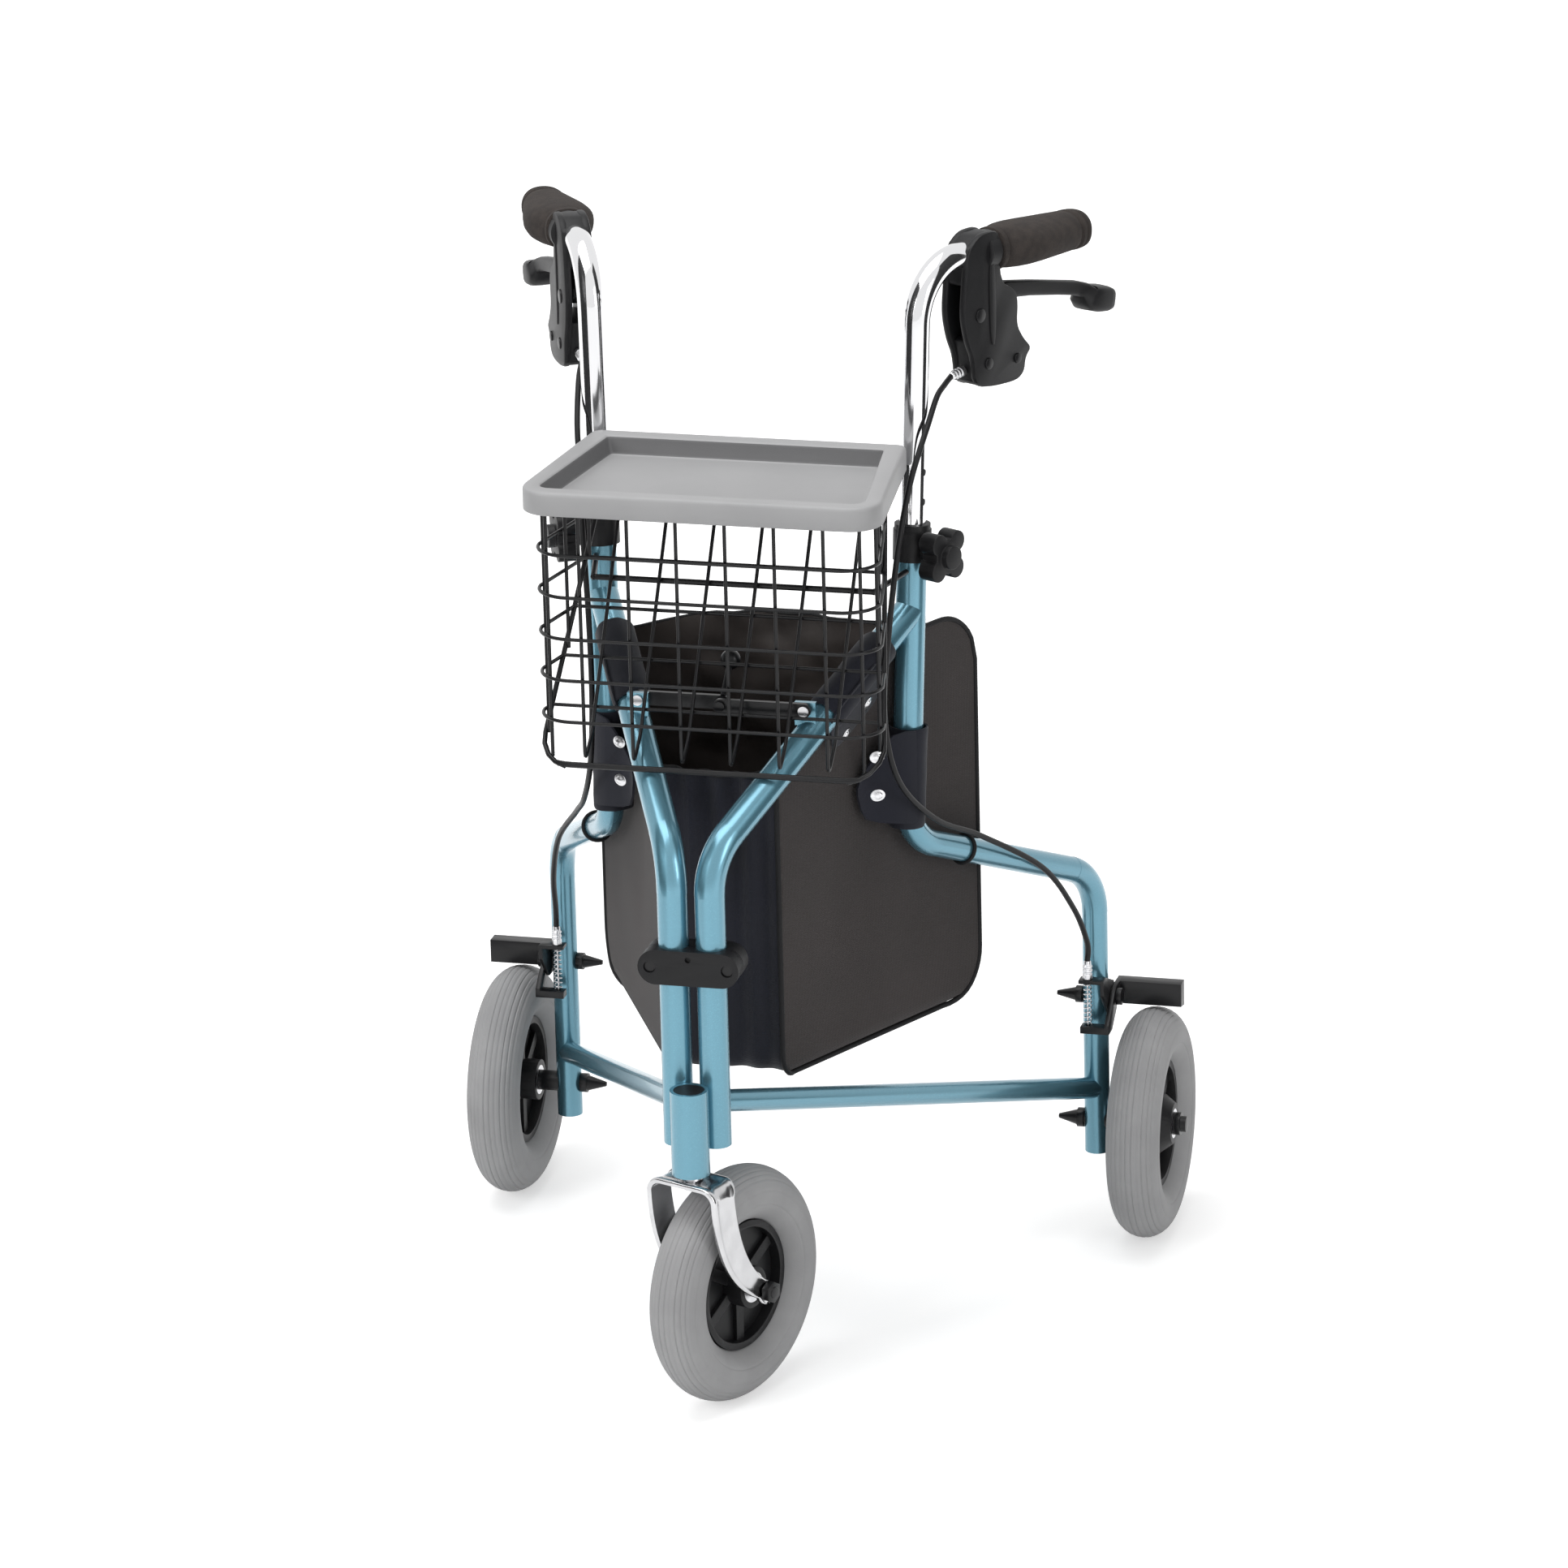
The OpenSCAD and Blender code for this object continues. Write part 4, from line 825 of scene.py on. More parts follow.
# %% Fork
FORK_TOP, FORK_OUT, FORK_THICK = 214.0, 35.5, 4.5
SHOULDER, BOSS_R = 14.0, 11.5
CROWN_GROW, CROWN_FLAT, SHOULDER_STEPS = (1.0, 7.0), 8, 8
BOSS_STEPS, LEG_ZS = (-11.4, -10.6, -8.6, -6, -3, 0, 3), range(112, 200, 6)
FRONT_EDGE = [(-16, FORK_TOP - 4), (-16, WHEEL_R + 27), (TRAIL - BOSS_R, WHEEL_R - 3)]
REAR_EDGE = [(12, FORK_TOP - 4), (17, WHEEL_R + 27), (TRAIL + BOSS_R, WHEEL_R + 3)]
STRIP = [(0.0, -1.4), (0.02, -0.4), (0.06, 0.0), (0.14, 0.0), (0.2, -1.0), (0.35, -1.3), (0.65, -1.3),
         (0.8, -1.0), (0.86, 0.0), (0.94, 0.0), (0.98, -0.4), (1.0, -1.4)]


def curve_at(points, k, t):
    """One coordinate of a curve bent through three points."""
    a, b, c = (p[k] for p in points)
    return a * (1 - t) ** 2 + b * 2 * t * (1 - t) + c * t * t


def edge_y(edge, z):
    """Where a leg's edge is at height z; below the axle it rounds off."""
    if z < edge[2][1]:
        half = math.sqrt(max(BOSS_R ** 2 - (z - WHEEL_R) ** 2, 0))
        return TRAIL + math.copysign(half, edge[2][0] - TRAIL)
    low, high = 0.0, 1.0
    for _ in range(30):
        t = (low + high) / 2
        low, high = (t, high) if curve_at(edge, 1, t) > z else (low, t)
    return curve_at(edge, 0, t)


half_strip = [(-FORK_OUT, WHEEL_R + dz, -1, 0) for dz in BOSS_STEPS]
half_strip += [(-FORK_OUT, z, -1, 0) for z in LEG_ZS]
for k in range(SHOULDER_STEPS + 1):
    turn = math.pi - math.pi / 2 * k / SHOULDER_STEPS
    c, n = math.cos(turn), math.sin(turn)
    x, z = -FORK_OUT + SHOULDER + SHOULDER * c, FORK_TOP - SHOULDER + SHOULDER * n
    half_strip.append((x, z, c, n))
half_strip.append((-CROWN_FLAT, FORK_TOP, 0, 1))
stations = half_strip + [(-x, z, -c, n) for x, z, c, n in half_strip[::-1]]
rings = []
for x, z, c, n in stations:
    y0 = edge_y(FRONT_EDGE, z) - CROWN_GROW[0] * n
    y1 = edge_y(REAR_EDGE, z) + CROWN_GROW[1] * n
    outer = [(y0 + (y1 - y0) * q, lift) for q, lift in STRIP]
    inner = [(y0 + (y1 - y0) * q, -FORK_THICK) for q in (0.97, 0.03)]
    rings.append([on_fork(x + c * lift, y, z + n * lift) for y, lift in outer + inner])
# The fork takes the darker chrome, painted shade in its reflections.
fork = loft("fork_strip", rings, chrome_painted_shade, angle=50)
seat(fork, "fork", "chrome", "caster_fork")
print("fork:", len(stations), "stations")

# %% [markdown]
# ## Moulded plastic and cast pieces
# Small castings keep their CAD shape and get rounded edges, which catch the light as real ones
# do. A thin wall closes each rim behind its spokes.

# %% Rounded copies of CAD pieces
WEB = ((17, -2), (17, 2), (51, 2), (51, -2))


def wheel_web(place):
    """Closed wall between a rim's spokes."""
    return turned("web", WEB, place, 48, black_plastic)


def rounded_copy(node, bevel, body, slot, steps=2, extra=None):
    """A CAD piece with its edges rounded, joined with an extra piece where one is given."""
    source = nodes[node]
    mesh = source.data.copy()
    mesh.transform(source.matrix_world)
    obj = new_object(f"{node}_rounded", mesh)
    work = bmesh.new()
    work.from_mesh(mesh)
    bmesh.ops.remove_doubles(work, verts=work.verts, dist=2e-6)
    bmesh.ops.dissolve_limit(work, angle_limit=math.radians(1), verts=work.verts, edges=work.edges)
    work.to_mesh(mesh)
    work.free()
    rounded_edges(obj, bevel * MM, steps, angle=35)
    if extra:
        obj = join(f"{node}_full", obj, extra)
    seat(obj, body, slot, node)
    return obj


for node in ("hinge_bracket_front", "hinge_bracket_rear"):
    rounded_copy(node, 1.8, "head", "black_plastic", 3)
for side in SIDES:
    rounded_copy(f"clamp_knob_{side}", 1.6, f"knob_{side}", "black_plastic", 3)
    rounded_copy(f"clamp_collar_{side}", 0.9, f"side_{side}", "black_plastic")
    rounded_copy(f"brake_arm_{side}", 1.0, f"brake_arm_{side}", "black_steel")
    rounded_copy(f"brake_bracket_{side}", 0.5, f"side_{side}", "black_steel")
    rear_web = wheel_web(lambda *p: on_rear_wheel(SIDES[side], *p))
    rounded_copy(f"rear_rim_{side}", 0.8, f"rear_wheel_{side}", "black_plastic", extra=rear_web)
    rounded_copy(f"rear_axle_{side}", 0.7, f"side_{side}", "black_steel")
rounded_copy("front_rim", 0.8, "front_wheel", "black_plastic", extra=wheel_web(on_front_wheel))
rounded_copy("front_axle", 0.7, "fork", "black_steel")
print("rounded copies made")

# %% [markdown]
# ## Handles
# Polished metal shows every seam, so each handle tube is swept in one piece along its line, with
# the row of height holes as dark spots of painted shade that follow the round of the tube.

# %% Handle tubes
HANDLE_R, HANDLE_BEND = 11.1, 50.0
HANDLE_LOW, HANDLE_END = 142.0, 202.0
HOLE_TOP, HOLE_STEP, HOLES, HOLE_R = 320.0, 25.4, 6, 3.0
UP_WAY = Vector((math.sin(LEAN), math.cos(LEAN)))
GRIP_WAY = Vector((math.cos(GRIP_DROP), -math.sin(GRIP_DROP)))
TURN = UP_WAY.angle(GRIP_WAY)
CUT = HANDLE_BEND * math.tan(TURN / 2)
BEND_STEPS, TUBE_SIDES = 32, 56
SPOT_LIFT = 0.06


def handle_line(s):
    """Middle line of a handle tube: up the upright, round the bend and along the grip."""
    at = Vector(CORNER)
    start = at - UP_WAY * CUT
    side_way = Vector((UP_WAY.y, -UP_WAY.x))
    points = [at + UP_WAY * (HANDLE_LOW - CORNER_U)]
    for k in range(BEND_STEPS + 1):
        a = TURN * k / BEND_STEPS
        points.append(start + UP_WAY * HANDLE_BEND * math.sin(a)
                      + side_way * HANDLE_BEND * (1 - math.cos(a)))
    points.append(at + GRIP_WAY * HANDLE_END)
    return [on_side(s, 0, p.x, p.y) for p in points]


def hole_shade_spot(s, u):
    """Dark round spot on the outer side of the tube: painted shade where a height hole is."""
    out = HANDLE_R + SPOT_LIFT
    rings = [[on_upright(s, math.sqrt(out ** 2 - a * a), a, u + b) for a, b in ring_points(r, 20)]
             for r in (HOLE_R, HOLE_R * 0.5, 0.05)]
    return loft("spot", rings, black_plastic, caps=False)


for side, s in SIDES.items():
    tube = wires("tube", [handle_line(s)], HANDLE_R, chrome, sides=TUBE_SIDES)
    hole_shades = [hole_shade_spot(s, HOLE_TOP - HOLE_STEP * k) for k in range(HOLES)]
    handle = join(f"handle_swept_{side}", tube, *hole_shades)
    seat(handle, f"handle_{side}", "chrome", f"handle_tube_{side}")
print("handles bend through", round(math.degrees(TURN), 1), "degrees")

# %% [markdown]
# ## Brake housings and levers
# A housing is two cheeks round a core, with a ridge, three bolt heads and a clamp on the tube.
# The lever swells and draws in along its length, and ends in a flat knob.

# %% Housing outlines
HOUSING = [(50, 2), (66, 13), (84, 13), (92, 9), (92, -33), (112, -44), (115, -56), (113, -75), (121, -88),
           (132, -99), (124, -106), (122, -118), (112, -124), (82, -122), (58, -117), (56, -93), (48, -76),
           (43, -53), (46, -27)]
HEAD_PART = [(50, 2), (66, 12), (84, 12), (91, 8), (91, -26), (50, -29), (47, -27)]
FOOT_PART = [(52, -76), (94, -76), (112, -80), (120, -89), (130, -99), (123, -106), (121, -117), (111, -123),
             (82, -121), (59, -116), (57, -93)]
RIDGE = [(76, -8), (84, -9), (84, -84), (76, -86)]
LEVER_AT = (64.0, -56.0)
BOLTS = [(*LEVER_AT, 6.0), (74, -100, 5.0), (112, -104, 4.4)]
HOUSING_HALF, CHEEK = 13.0, 6.6
CORE, RIDGE_THICK, BOLT_THICK = 2 * HOUSING_HALF - 2.4, 2.4, 3.0
CLAMP_T = 84.5
CLAMP = ((-7, 11.25), (-7, 15.5), (-6, 17), (6, 17), (7, 15.5), (7, 11.25), (-7, 11.25))
print("housing drawn with", len(HOUSING), "corners")

# %% Housings


def on_corner(s, x, y, z):
    """Point by a handle's corner."""
    return on_side(s, x, CORNER[0] + y, CORNER[1] + z)


def softened(outline, share=0.22, times=2):
    """Outline with its corners cut, twice over unless told otherwise."""
    for _ in range(times):
        pairs = list(zip(outline, outline[1:] + outline[:1]))
        outline = [(a[0] + (b[0] - a[0]) * t, a[1] + (b[1] - a[1]) * t)
                   for a, b in pairs for t in (share, 1 - share)]
    return outline


def plate(s, x, outline, thick, bevel):
    """Plate of a housing with its middle at x."""
    return slab("plate", outline, lambda d, a, b: on_corner(s, x + d, a, b), thick, black_plastic, bevel)


def bolt_head(s, x, y, z, r):
    """Flat round head with rounded edges."""
    return slab("bolt", ring_points(r, 24), lambda d, a, b: on_corner(s, x + d, y + a, z + b),
                BOLT_THICK, black_coat, 0.8)


for side, s in SIDES.items():
    pieces = [plate(s, x * (HOUSING_HALF - CHEEK / 2), softened(HOUSING), CHEEK, 2.2) for x in (-1, 1)]
    pieces += [plate(s, 0, softened(outline, 0.12, 1), CORE, 1.2)
               for outline in (HEAD_PART, FOOT_PART)]
    for x in (-HOUSING_HALF, HOUSING_HALF):
        pieces.append(plate(s, x, softened(RIDGE, 0.25), RIDGE_THICK, 0.9))
        pieces += [bolt_head(s, x, *bolt) for bolt in BOLTS]
    rings = [[on_grip(s, a, b, CLAMP_T + dt) for a, b in ring_points(r, 32)] for dt, r in CLAMP]
    pieces.append(loft("clamp", rings, black_plastic, caps=False))
    housing = join(f"lever_housing_{side}", *pieces)
    seat(housing, f"handle_{side}", "black_plastic", f"brake_housing_{side}")
print("housings:", len(housing.data.polygons), "faces each")

# %% Levers
LEVER = [(-6, -1, 3.0, 3.5), (-3, 0, 7.0, 5.0), (2, 1, 8.6, 5.4), (14, 5, 8.4, 5.5), (30, 10, 8.0, 5.5),
         (48, 10, 7.4, 5.5), (80, 4, 6.6, 5.6), (115, -4, 6.2, 5.8), (140, -10, 6.2, 6.2),
         (150, -14, 6.8, 7.6), (153.5, -19, 9.4, 11.6), (156, -22, 11.0, 12.8), (166, -25, 11.4, 13.2),
         (176, -27, 11.0, 13.2), (181, -28, 9.6, 12.4), (183.4, -28.4, 7.4, 10.6), (184.4, -28.6, 4.0, 6.4)]
LEVER_POWER = 0.5
for side, s in SIDES.items():
    rings = []
    for k, (y, z, tall, wide) in enumerate(LEVER):
        a, b = LEVER[max(k - 1, 0)], LEVER[min(k + 1, len(LEVER) - 1)]
        way = Vector((b[0] - a[0], b[1] - a[1])).normalized()
        rings.append([on_corner(s, x, LEVER_AT[0] + y - way.y * lift, LEVER_AT[1] + z + way.x * lift)
                      for x, lift in oval(wide, tall, LEVER_POWER, 24)])
    lever = loft(f"hand_lever_{side}", rings, black_plastic, angle=60)
    seat(lever, f"lever_{side}", "black_plastic", f"brake_lever_{side}")
print("levers:", len(LEVER), "stations")

# %% [markdown]
# ## Brake cables and springs
# Each cable leaves its housing through a silver barrel, loops past the upright and runs down the
# frame to a second barrel above the brake. When a handle slides, the cable's slack takes it up;
# here the cable is one piece fixed in place.

# %% Cable route
BARREL_TOP = (0.0, CORNER[0] + 56.8, CORNER[1] - 104.0)
BARREL_WAY = (0.0, -0.9966, -0.083)
BARREL_LONG = 17.0
BARREL_GAP = 0.6
STOP_Z = 242.0
BRAKE_LINE = (-1.0, -28.0)
CABLE_R, BARE_R, BARE_LONG = 2.5, 0.8, 50
STOP = (BRAKE_LINE[0] * math.cos(OPEN) - BRAKE_LINE[1] * math.sin(OPEN),
        LEG_D + BRAKE_LINE[0] * math.sin(OPEN) + BRAKE_LINE[1] * math.cos(OPEN), STOP_Z)
ROUTE = [(5, 307, 820), (10, 290.5, 814), (15.5, 271.6, 795), (19, 256, 777), (21, 239.6, 750),
         (24, 220, 701), (24, 206, 632), (25, 197, 564), (25, 213, 502), (22, 264, 452), (17, 330, 417),
         (19, 408, 367), (17, 452, 317)]
ROUTE += [(*STOP[:2], STOP_Z + k * BARREL_LONG) for k in (2, 1)]


def past_top(s, long):
    """Point at a distance along the top barrel's axis."""
    return on_side(s, *(a + w * long for a, w in zip(BARREL_TOP, BARREL_WAY)))


print("cable route has", len(ROUTE) + 1, "points")

# %% Cables


def smooth_line(points, steps):
    """Catmull-Rom line through the points."""
    made = []
    for i in range(len(points) - 1):
        a, b, c, d = (points[min(max(k, 0), len(points) - 1)] for k in range(i - 1, i + 3))
        square, cube = 2 * a - 5 * b + 4 * c - d, 3 * b - a - 3 * c + d
        made += [0.5 * (2 * b + (c - a) * t + square * t * t + cube * t ** 3)
                 for t in (k / steps for k in range(steps))]
    return made + [points[-1]]


RIBBED = [(0.0, 3.4), (0.04, 4.4), (0.3, 4.4), (0.34, 3.6), (0.4, 3.6), (0.44, 4.4), (0.52, 4.4),
          (0.56, 3.6), (0.62, 3.6), (0.66, 4.4), (0.74, 4.4), (0.78, 3.4), (0.96, 3.2), (1.0, 2.7)]


def barrel(name, a, b):
    """Turned silver piece from a to b; its profile gives (share of length, radius)."""
    way = (b - a).normalized()
    across = way.orthogonal().normalized()
    other = way.cross(across)
    rings = [[a.lerp(b, t) + (across * c + other * n) * r * MM for c, n in ring_points(1, 20)]
             for t, r in RIBBED]
    return loft(name, rings, silver)


for side, s in SIDES.items():
    stop = on_side(s, *STOP)
    route = smooth_line([past_top(s, BARREL_LONG)] + [on_side(s, *p) for p in ROUTE], 8)
    top = barrel("top_barrel", past_top(s, BARREL_GAP), route[0])
    low = barrel("low_barrel", stop, route[-1])
    bare = wires("bare_wire", [[on_side(s, *STOP[:2], STOP_Z - BARE_LONG), stop]], BARE_R, silver)
    outer = wires("outer_sleeve", [route], CABLE_R, black_plastic, sides=12)
    cable = join(f"cable_{side}", outer, top, low, bare)
    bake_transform(cable)
    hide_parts(f"brake_cable_{side}")
print("cable length", round(sum((a - b).length for a, b in zip(route, route[1:])), 3), "m")

# %% Springs
SPRING_LOW, SPRING_TOP, SPRING_R, SPRING_WIRE = 199.3, 239.0, 3.2, 0.55
TURNS, TURN_STEPS = 9, 20
SPRING_LONG = SPRING_TOP - SPRING_LOW - 0.3
for side, s in SIDES.items():
    coil = []
    for k in range(TURNS * TURN_STEPS + 1):
        turn = math.tau * k / TURN_STEPS
        rise = (SPRING_LONG - 2 * SPRING_WIRE) * k / (TURNS * TURN_STEPS)
        coil.append(on_leg(s, BRAKE_LINE[0] + SPRING_R * math.cos(turn),
                           BRAKE_LINE[1] + SPRING_R * math.sin(turn), SPRING_LOW + SPRING_WIRE + rise))
    spring = wires(f"return_spring_{side}", [coil], SPRING_WIRE, silver, sides=8)
    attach(spring, f"side_{side}")
    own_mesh(spring)
    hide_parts(f"brake_spring_{side}")
print("springs:", TURNS, "turns")

# %% [markdown]
# ## Bag
# The bag hangs between the two side frames: two stiff side panels, and a softer strip that runs
# down the front, under the floor and up the back. It is one lofted shell. Rings run round it
# from floor to mouth; the front strip is pleated, the floor sags, and low noise creases the cloth.

# %% Bag measures
BAG_OFF, BAG_FRONT, BAG_REAR, BAG_LOW, BAG_TOP = 13.0, 100.0, 360.0, 259.0, 608.0
FRONT_ROUND, REAR_ROUND, TOP_ROUND, LOW_ROUND = 20.0, 44.0, 46.0, 12
PANEL_X, PANEL_TUCK = -BAG_OFF + 1.5, 10
MOUTH_DROP, FLOOR_SAG, CLOTH_THICK = 10, 6, 2.2
BELLY, BACK_HOLLOW, BACK_LIFT = 5, 9, 34
FRONT_SWELL, FRONT_PLEAT, FRONT_DIP = 5, 4.5, 7
SIDE_STEPS, FRONT_STEPS, REAR_STEPS, RINGS, FLOOR_RINGS = 44, 36, 40, 48, 8


def mouth_z(d):
    """Height of the bag's edge along a side panel: under the diagonal, level, then rounded."""
    z = min(DIAG_FOOT + d * math.tan(DIAG_RISE) - MOUTH_DROP, BAG_TOP)
    past = d - (BAG_REAR - TOP_ROUND)
    return z if past <= 0 else z - TOP_ROUND + math.sqrt(max(TOP_ROUND ** 2 - past ** 2, 0))


def drawn_in(z, r):
    """How far a rounded lower corner draws in at height z."""
    rise = z - BAG_LOW
    return 0.0 if rise >= r else r - math.sqrt(max(r * r - (r - rise) ** 2, 0))


def tuck(z, depth):
    """How far a panel turns in under the bag at height z."""
    return depth * (drawn_in(z, LOW_ROUND) / LOW_ROUND)


def side_span(z):
    """Front and rear end of a side panel at height z."""
    return BAG_FRONT + drawn_in(z, FRONT_ROUND), BAG_REAR - drawn_in(z, REAR_ROUND)


print("bag is", BAG_REAR - BAG_FRONT, "mm long and", BAG_TOP - BAG_LOW, "mm high")

# %% Bag shell


def crease(x, y, z, size, seed):
    """Smooth noise between -1 and 1 with waves of about the given size."""
    return noise.noise(Vector((x, y, z)) / size + Vector((seed, 0, 0)))


def bag_point(around, v):
    """Point of the shell: around runs right side, back, left side, front; v from floor to mouth."""
    part, t = around
    if part in ("right", "left"):
        s = SIDES[part]
        d = BAG_FRONT + (BAG_REAR - BAG_FRONT) * (t if s > 0 else 1 - t)
        z = BAG_LOW + (mouth_z(d) - BAG_LOW) * v
        front, rear = side_span(z)
        d = front + (rear - front) * (d - BAG_FRONT) / (BAG_REAR - BAG_FRONT)
        share = min(max((d - front) / (rear - front), 0), 1)
        belly = math.sin(math.pi * share) * math.sin(math.pi * min(v, 1))
        x = PANEL_X - BELLY * belly + 2.0 * crease(s * d, 0, z, 70, 3) * belly - tuck(z, PANEL_TUCK)
        return on_side(s, x, d, z)
    z_end = mouth_z(BAG_REAR if part == "back" else BAG_FRONT)
    z = BAG_LOW + (z_end - BAG_LOW) * v
    front, rear = side_span(z)
    d = rear if part == "back" else front
    edge = on_side(1, PANEL_X - tuck(z, PANEL_TUCK), d, z) / MM
    w = 1 - 2 * t
    x = edge.x * (w if part == "back" else -w)
    y = edge.y + CENTRE_Y
    if part == "back":
        y -= (1 - w * w) * (BACK_HOLLOW + 5 * crease(x, 0, z, 60, 7))
        y -= (1 - w ** 8) * 2 * math.cos(3 * math.pi * w)
        creases = 9 * crease(x, 1, z, 34, 19) + 5 * crease(x, 1, z * 1.6, 17, 23)
        y += (1 - w * w) * v ** 2 * creases
        z += (1 - w * w) * BACK_LIFT * v ** 3
    else:
        fold = math.cos(4 * math.pi * w) * (1 - w ** 6)
        y += (1 - w * w) * FRONT_SWELL - fold * FRONT_PLEAT * (0.4 + 0.6 * v)
        y += 1.5 * crease(x, 2, z, 30, 11)
        z -= (1 - w * w) * FRONT_DIP * v ** 4
    return middle(x, y, z)


def steps_along(part, count):
    """Places along one part of the shell."""
    return [(part, k / count) for k in range(count)]


loop = (steps_along("right", SIDE_STEPS) + steps_along("back", REAR_STEPS)
        + steps_along("left", SIDE_STEPS) + steps_along("front", FRONT_STEPS))
count = len(loop)
verts, faces = [], []
for ring in range(RINGS + 1):
    verts += [bag_point(place, ring / RINGS) for place in loop]
for ring in range(RINGS):
    faces += band(ring * count, (ring + 1) * count, count)
centre = sum(verts[:count], Vector()) / count
last = 0
for ring in range(1, FLOOR_RINGS):
    t = ring / FLOOR_RINGS
    sag = FLOOR_SAG * MM * math.sin(math.pi / 2 * min(t * 1.6, 1))
    first = len(verts)
    for p in verts[:count]:
        q = p.lerp(centre, t)
        q.z = p.z - sag + 2 * MM * crease(q.x / MM, q.y / MM, 0, 40, 5) * t
        verts.append(q)
    faces += band(first, last, count)
    last = first
faces += [(len(verts), last + (k + 1) % count, last + k) for k in range(count)]
verts.append(centre - Vector((0, 0, FLOOR_SAG * MM)))
print("bag shell:", len(verts), "points")

# %% Bag cloth
bag = mesh_object("bag_shell", verts, faces, bag_cloth, gusset_cloth, lining_painted_light, lining_painted_light)
for face in bag.data.polygons:
    in_floor = face.index >= RINGS * count
    front_strip = face.index % count >= 2 * SIDE_STEPS + REAR_STEPS
    face.material_index = 1 if in_floor or front_strip else 0
uv = bag.data.uv_layers.new(name="cloth")
for corner in bag.data.loops:
    p = bag.data.vertices[corner.vertex_index].co
    uv.data[corner.index].uv = (p.y + abs(p.x) * 0.5, p.z)
outward(bag)
# The inner wall takes the lighter lining, painted light on the shaded inside.
wall = bag.modifiers.new("cloth", "SOLIDIFY")
wall.thickness, wall.offset, wall.material_offset = CLOTH_THICK * MM, -1, 2
smooth(settle(bag), 50)
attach(bag, "head")
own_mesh(bag)
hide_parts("bag")
print("bag:", len(bag.data.polygons), "faces")

# %% [markdown]
# ## Binding
# A round black binding is sewn along the edge of each side panel, and a tape along the mouth.

# %% Binding
TAPE_R, MOUTH_TAPE_R, TAPE_TUCK = 2.3, 2.0, 6
FRONT_STEP, REAR_STEP, TOP_STEPS = 6, 8, 60


def quarter(steps):
    """Angles of a quarter turn."""
    return [math.pi / 2 * k / steps for k in range(steps + 1)]


front_top, rear_top = mouth_z(BAG_FRONT), mouth_z(BAG_REAR)
front_count = int((front_top - BAG_LOW - FRONT_ROUND) / FRONT_STEP)
rear_count = int((rear_top - BAG_LOW - REAR_ROUND) / REAR_STEP)
path = [(BAG_FRONT, front_top - k * FRONT_STEP) for k in range(front_count)]
path += [(BAG_FRONT + FRONT_ROUND * (1 - math.cos(a)), BAG_LOW + FRONT_ROUND * (1 - math.sin(a)))
         for a in quarter(8)]
path += [(BAG_REAR - REAR_ROUND + REAR_ROUND * math.sin(a), BAG_LOW + REAR_ROUND * (1 - math.cos(a)))
         for a in quarter(10)]
path += [(BAG_REAR, BAG_LOW + REAR_ROUND + k * REAR_STEP) for k in range(1, rear_count)]
for k in range(TOP_STEPS):
    d = BAG_REAR - (BAG_REAR - BAG_FRONT) * k / TOP_STEPS
    path.append((d, mouth_z(d)))
panel_lines = []
for s in (1, -1):
    panel = [on_side(s, -BAG_OFF + 1.0 - tuck(z, TAPE_TUCK), d, z) for d, z in path]
    panel_lines.append(panel + panel[:1])
mouth = [[bag_point(place, 1) for place in steps_along("front", FRONT_STEPS) + [("right", 0)]],
         [bag_point(place, 1) for place in steps_along("back", REAR_STEPS) + [("left", 0)]]]
binding = join("bag_binding", wires("panel_binding", panel_lines, TAPE_R, black_binding, sides=8),
               wires("mouth_tape", mouth, MOUTH_TAPE_R, black_binding, sides=8))
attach(binding, "head")
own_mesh(binding)
print("binding sewn round", len(panel_lines), "panels")

# %% [markdown]
# ## Sleeves and snaps
# Cloth sleeves hold the bag on the frame: one round the foot of each upright, one along each
# diagonal, with flaps that close with silver snaps, and a loop round each rear arm.

# %% Sleeve makers


def sleeve(place, stations, pull, seed):
    """Loose cloth tube, pulled inwards; place takes (x, y, along), stations give along and radius."""
    rings = []
    for along, r in stations:
        ring = []
        for c, n in ring_points(1, 32):
            loose = r + 0.9 * crease(40 * c, 40 * n, along, 22, seed)
            ring.append(place(loose * c - pull * max(0.0, -c) ** 2, loose * n, along))
        rings.append(ring)
    obj = outward(loft("sleeve", rings, gusset_cloth, caps=False, angle=60))
    wall = obj.modifiers.new("cloth", "SOLIDIFY")
    wall.thickness, wall.offset = SLEEVE_THICK * MM, 0
    return smooth(settle(obj), 50)


def along_diagonal(s, x, y, d):
    """Point round the diagonal at distance d along the side frame."""
    c, k = math.cos(DIAG_RISE), math.sin(DIAG_RISE)
    return on_side(s, x, d - y * k, DIAG_FOOT + d * math.tan(DIAG_RISE) + y * c)


def strap_x(d):
    """How far the strap stands out: from the bag's side round the outside of the upright."""
    t = min(max((d - 200) / 46, 0), 1)
    return -9 + 24.5 * t * t * (3 - 2 * t)


def on_strap(s, depth, d, z):
    """Point over the strap's outer face, or under it where the depth is below zero."""
    return on_side(s, strap_x(d) + STRAP_HALF + depth, d, z)


def strap_ring(s, d, low, high):
    """Section of the strap at distance d."""
    heights = [low + (high - low) * k / 6 for k in range(7)]
    return ([on_strap(s, 0, d, z) for z in heights]
            + [on_strap(s, -2 * STRAP_HALF, d, z) for z in heights[::-1]])


def on_hang(s, depth, a, b):
    """Point of the flap that hangs from the diagonal's sleeve and leans in towards the bag."""
    return along_diagonal(s, 12 + 0.45 * b + depth, b, HANG_D + a)


def snap(place):
    """Domed snap; place takes (depth, a, b)."""
    rings = [[place(depth, a, b) for a, b in ring_points(r, 20)] for depth, r in SNAP]
    return loft("snap", rings, silver, angle=50)


print("sleeve makers ready")

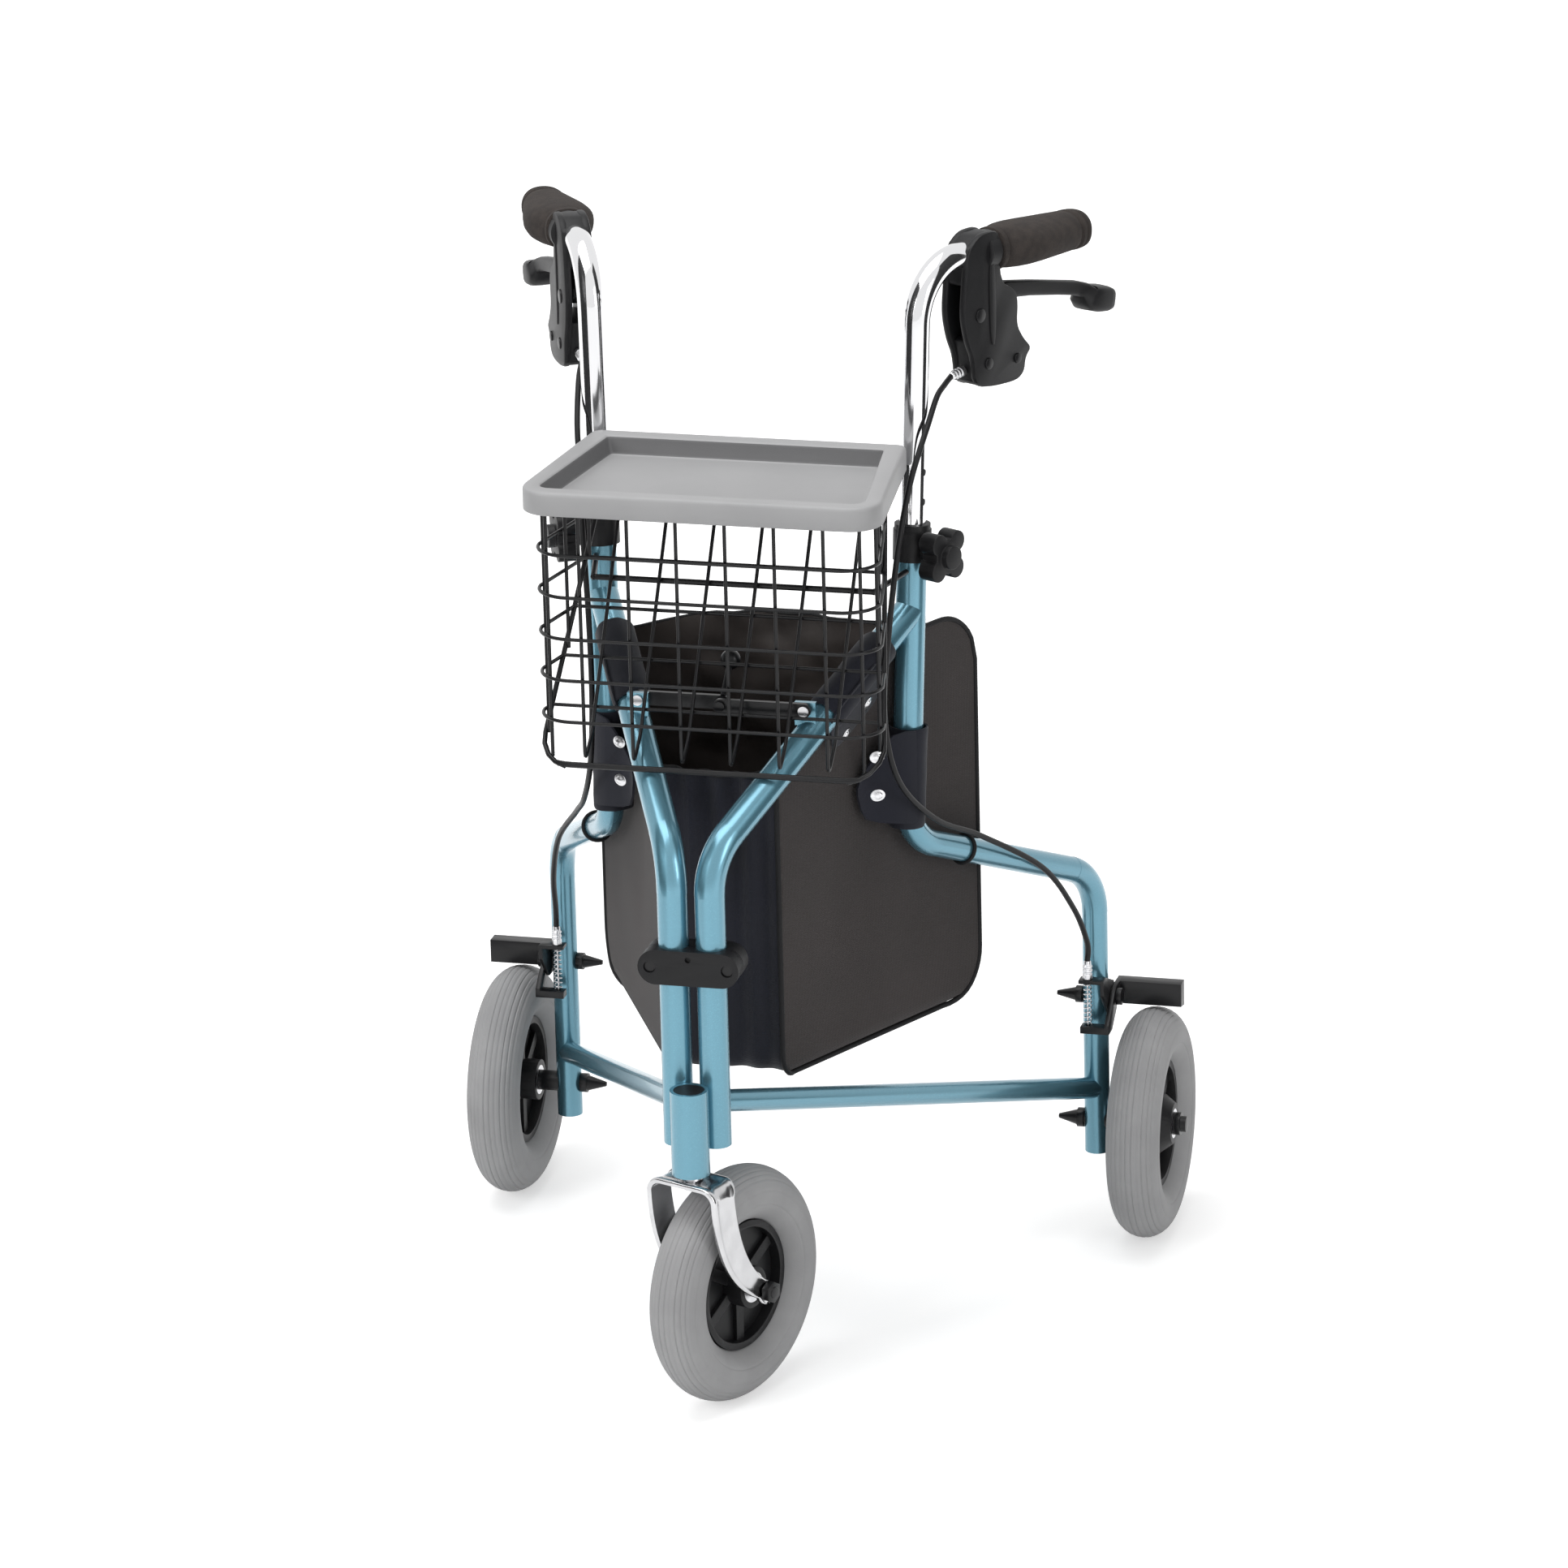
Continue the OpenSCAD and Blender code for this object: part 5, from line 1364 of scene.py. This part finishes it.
# %% Sleeves, straps and snaps
SLEEVE_THICK, STRAP_HALF, HANG_THICK = 1.4, 1.0, 1.8
FOOT_SLEEVE = [(12, 14.6), (14, 15.4), (24, 15.6), (40, 15.0), (56, 15.4), (72, 15.2), (88, 15.4), (97, 15.8),
               (99, 15.2)]
SLOPE_SLEEVE = [(150, 14.2), (152, 15.2), (165, 15.4), (185, 14.8), (205, 15.4), (222, 15.2), (224, 14.2)]
STRAP = [(199.5, 484, 490), (203, 471, 498), (208, 461, 505), (217, 457, 518), (228, 455, 533),
         (238, 453, 535), (248, 452, 533)]
HANG_D, HANG = 176, [(-34, 8), (34, 8), (33, -46), (-30, -44)]
SNAP = [(0.0, 5.2), (0.7, 5.2), (1.0, 4.4), (1.3, 3.2), (2.0, 2.8), (2.5, 1.8), (2.7, 0.4)]
SNAP_D, STRAP_SNAPS, HANG_SNAPS = 216, (481.6, 515.5), ((15, -33), (-14, -38))
ARM_LOOP, ARM_LOOP_R, LOOP_WIRE = 326.0, LEG_R + 1.2, 1.8
for side, s in SIDES.items():
    foot = sleeve(lambda *p: on_upright(s, *p), FOOT_SLEEVE, 3.0, 3 * s)
    slope = sleeve(lambda *p: along_diagonal(s, *p), SLOPE_SLEEVE, 2.0, 9 * s)
    strap = loft("strap", [strap_ring(s, *station) for station in STRAP], gusset_cloth, angle=60)
    hang = slab("hang", softened(HANG, 0.15), lambda *p: on_hang(s, *p), HANG_THICK, gusset_cloth, 0.6)
    buttons = [snap(lambda depth, a, b: on_strap(s, depth, SNAP_D + a, z + b)) for z in STRAP_SNAPS]
    buttons += [snap(lambda depth, a, b: on_hang(s, HANG_THICK / 2 + depth, at + a, low + b))
                for at, low in HANG_SNAPS]
    arm = [on_side(s, a, ARM_LOOP + 0.38 * b, arm_z(ARM_LOOP) + 0.92 * b)
           for a, b in ring_points(ARM_LOOP_R, 28)]
    ring = wires("loop", [arm + arm[:1]], LOOP_WIRE, black_binding, sides=8)
    dress = join(f"bag_sleeves_{side}", foot, slope, strap, hang, *buttons, ring)
    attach(dress, f"side_{side}")
print("sleeves and snaps on both sides")
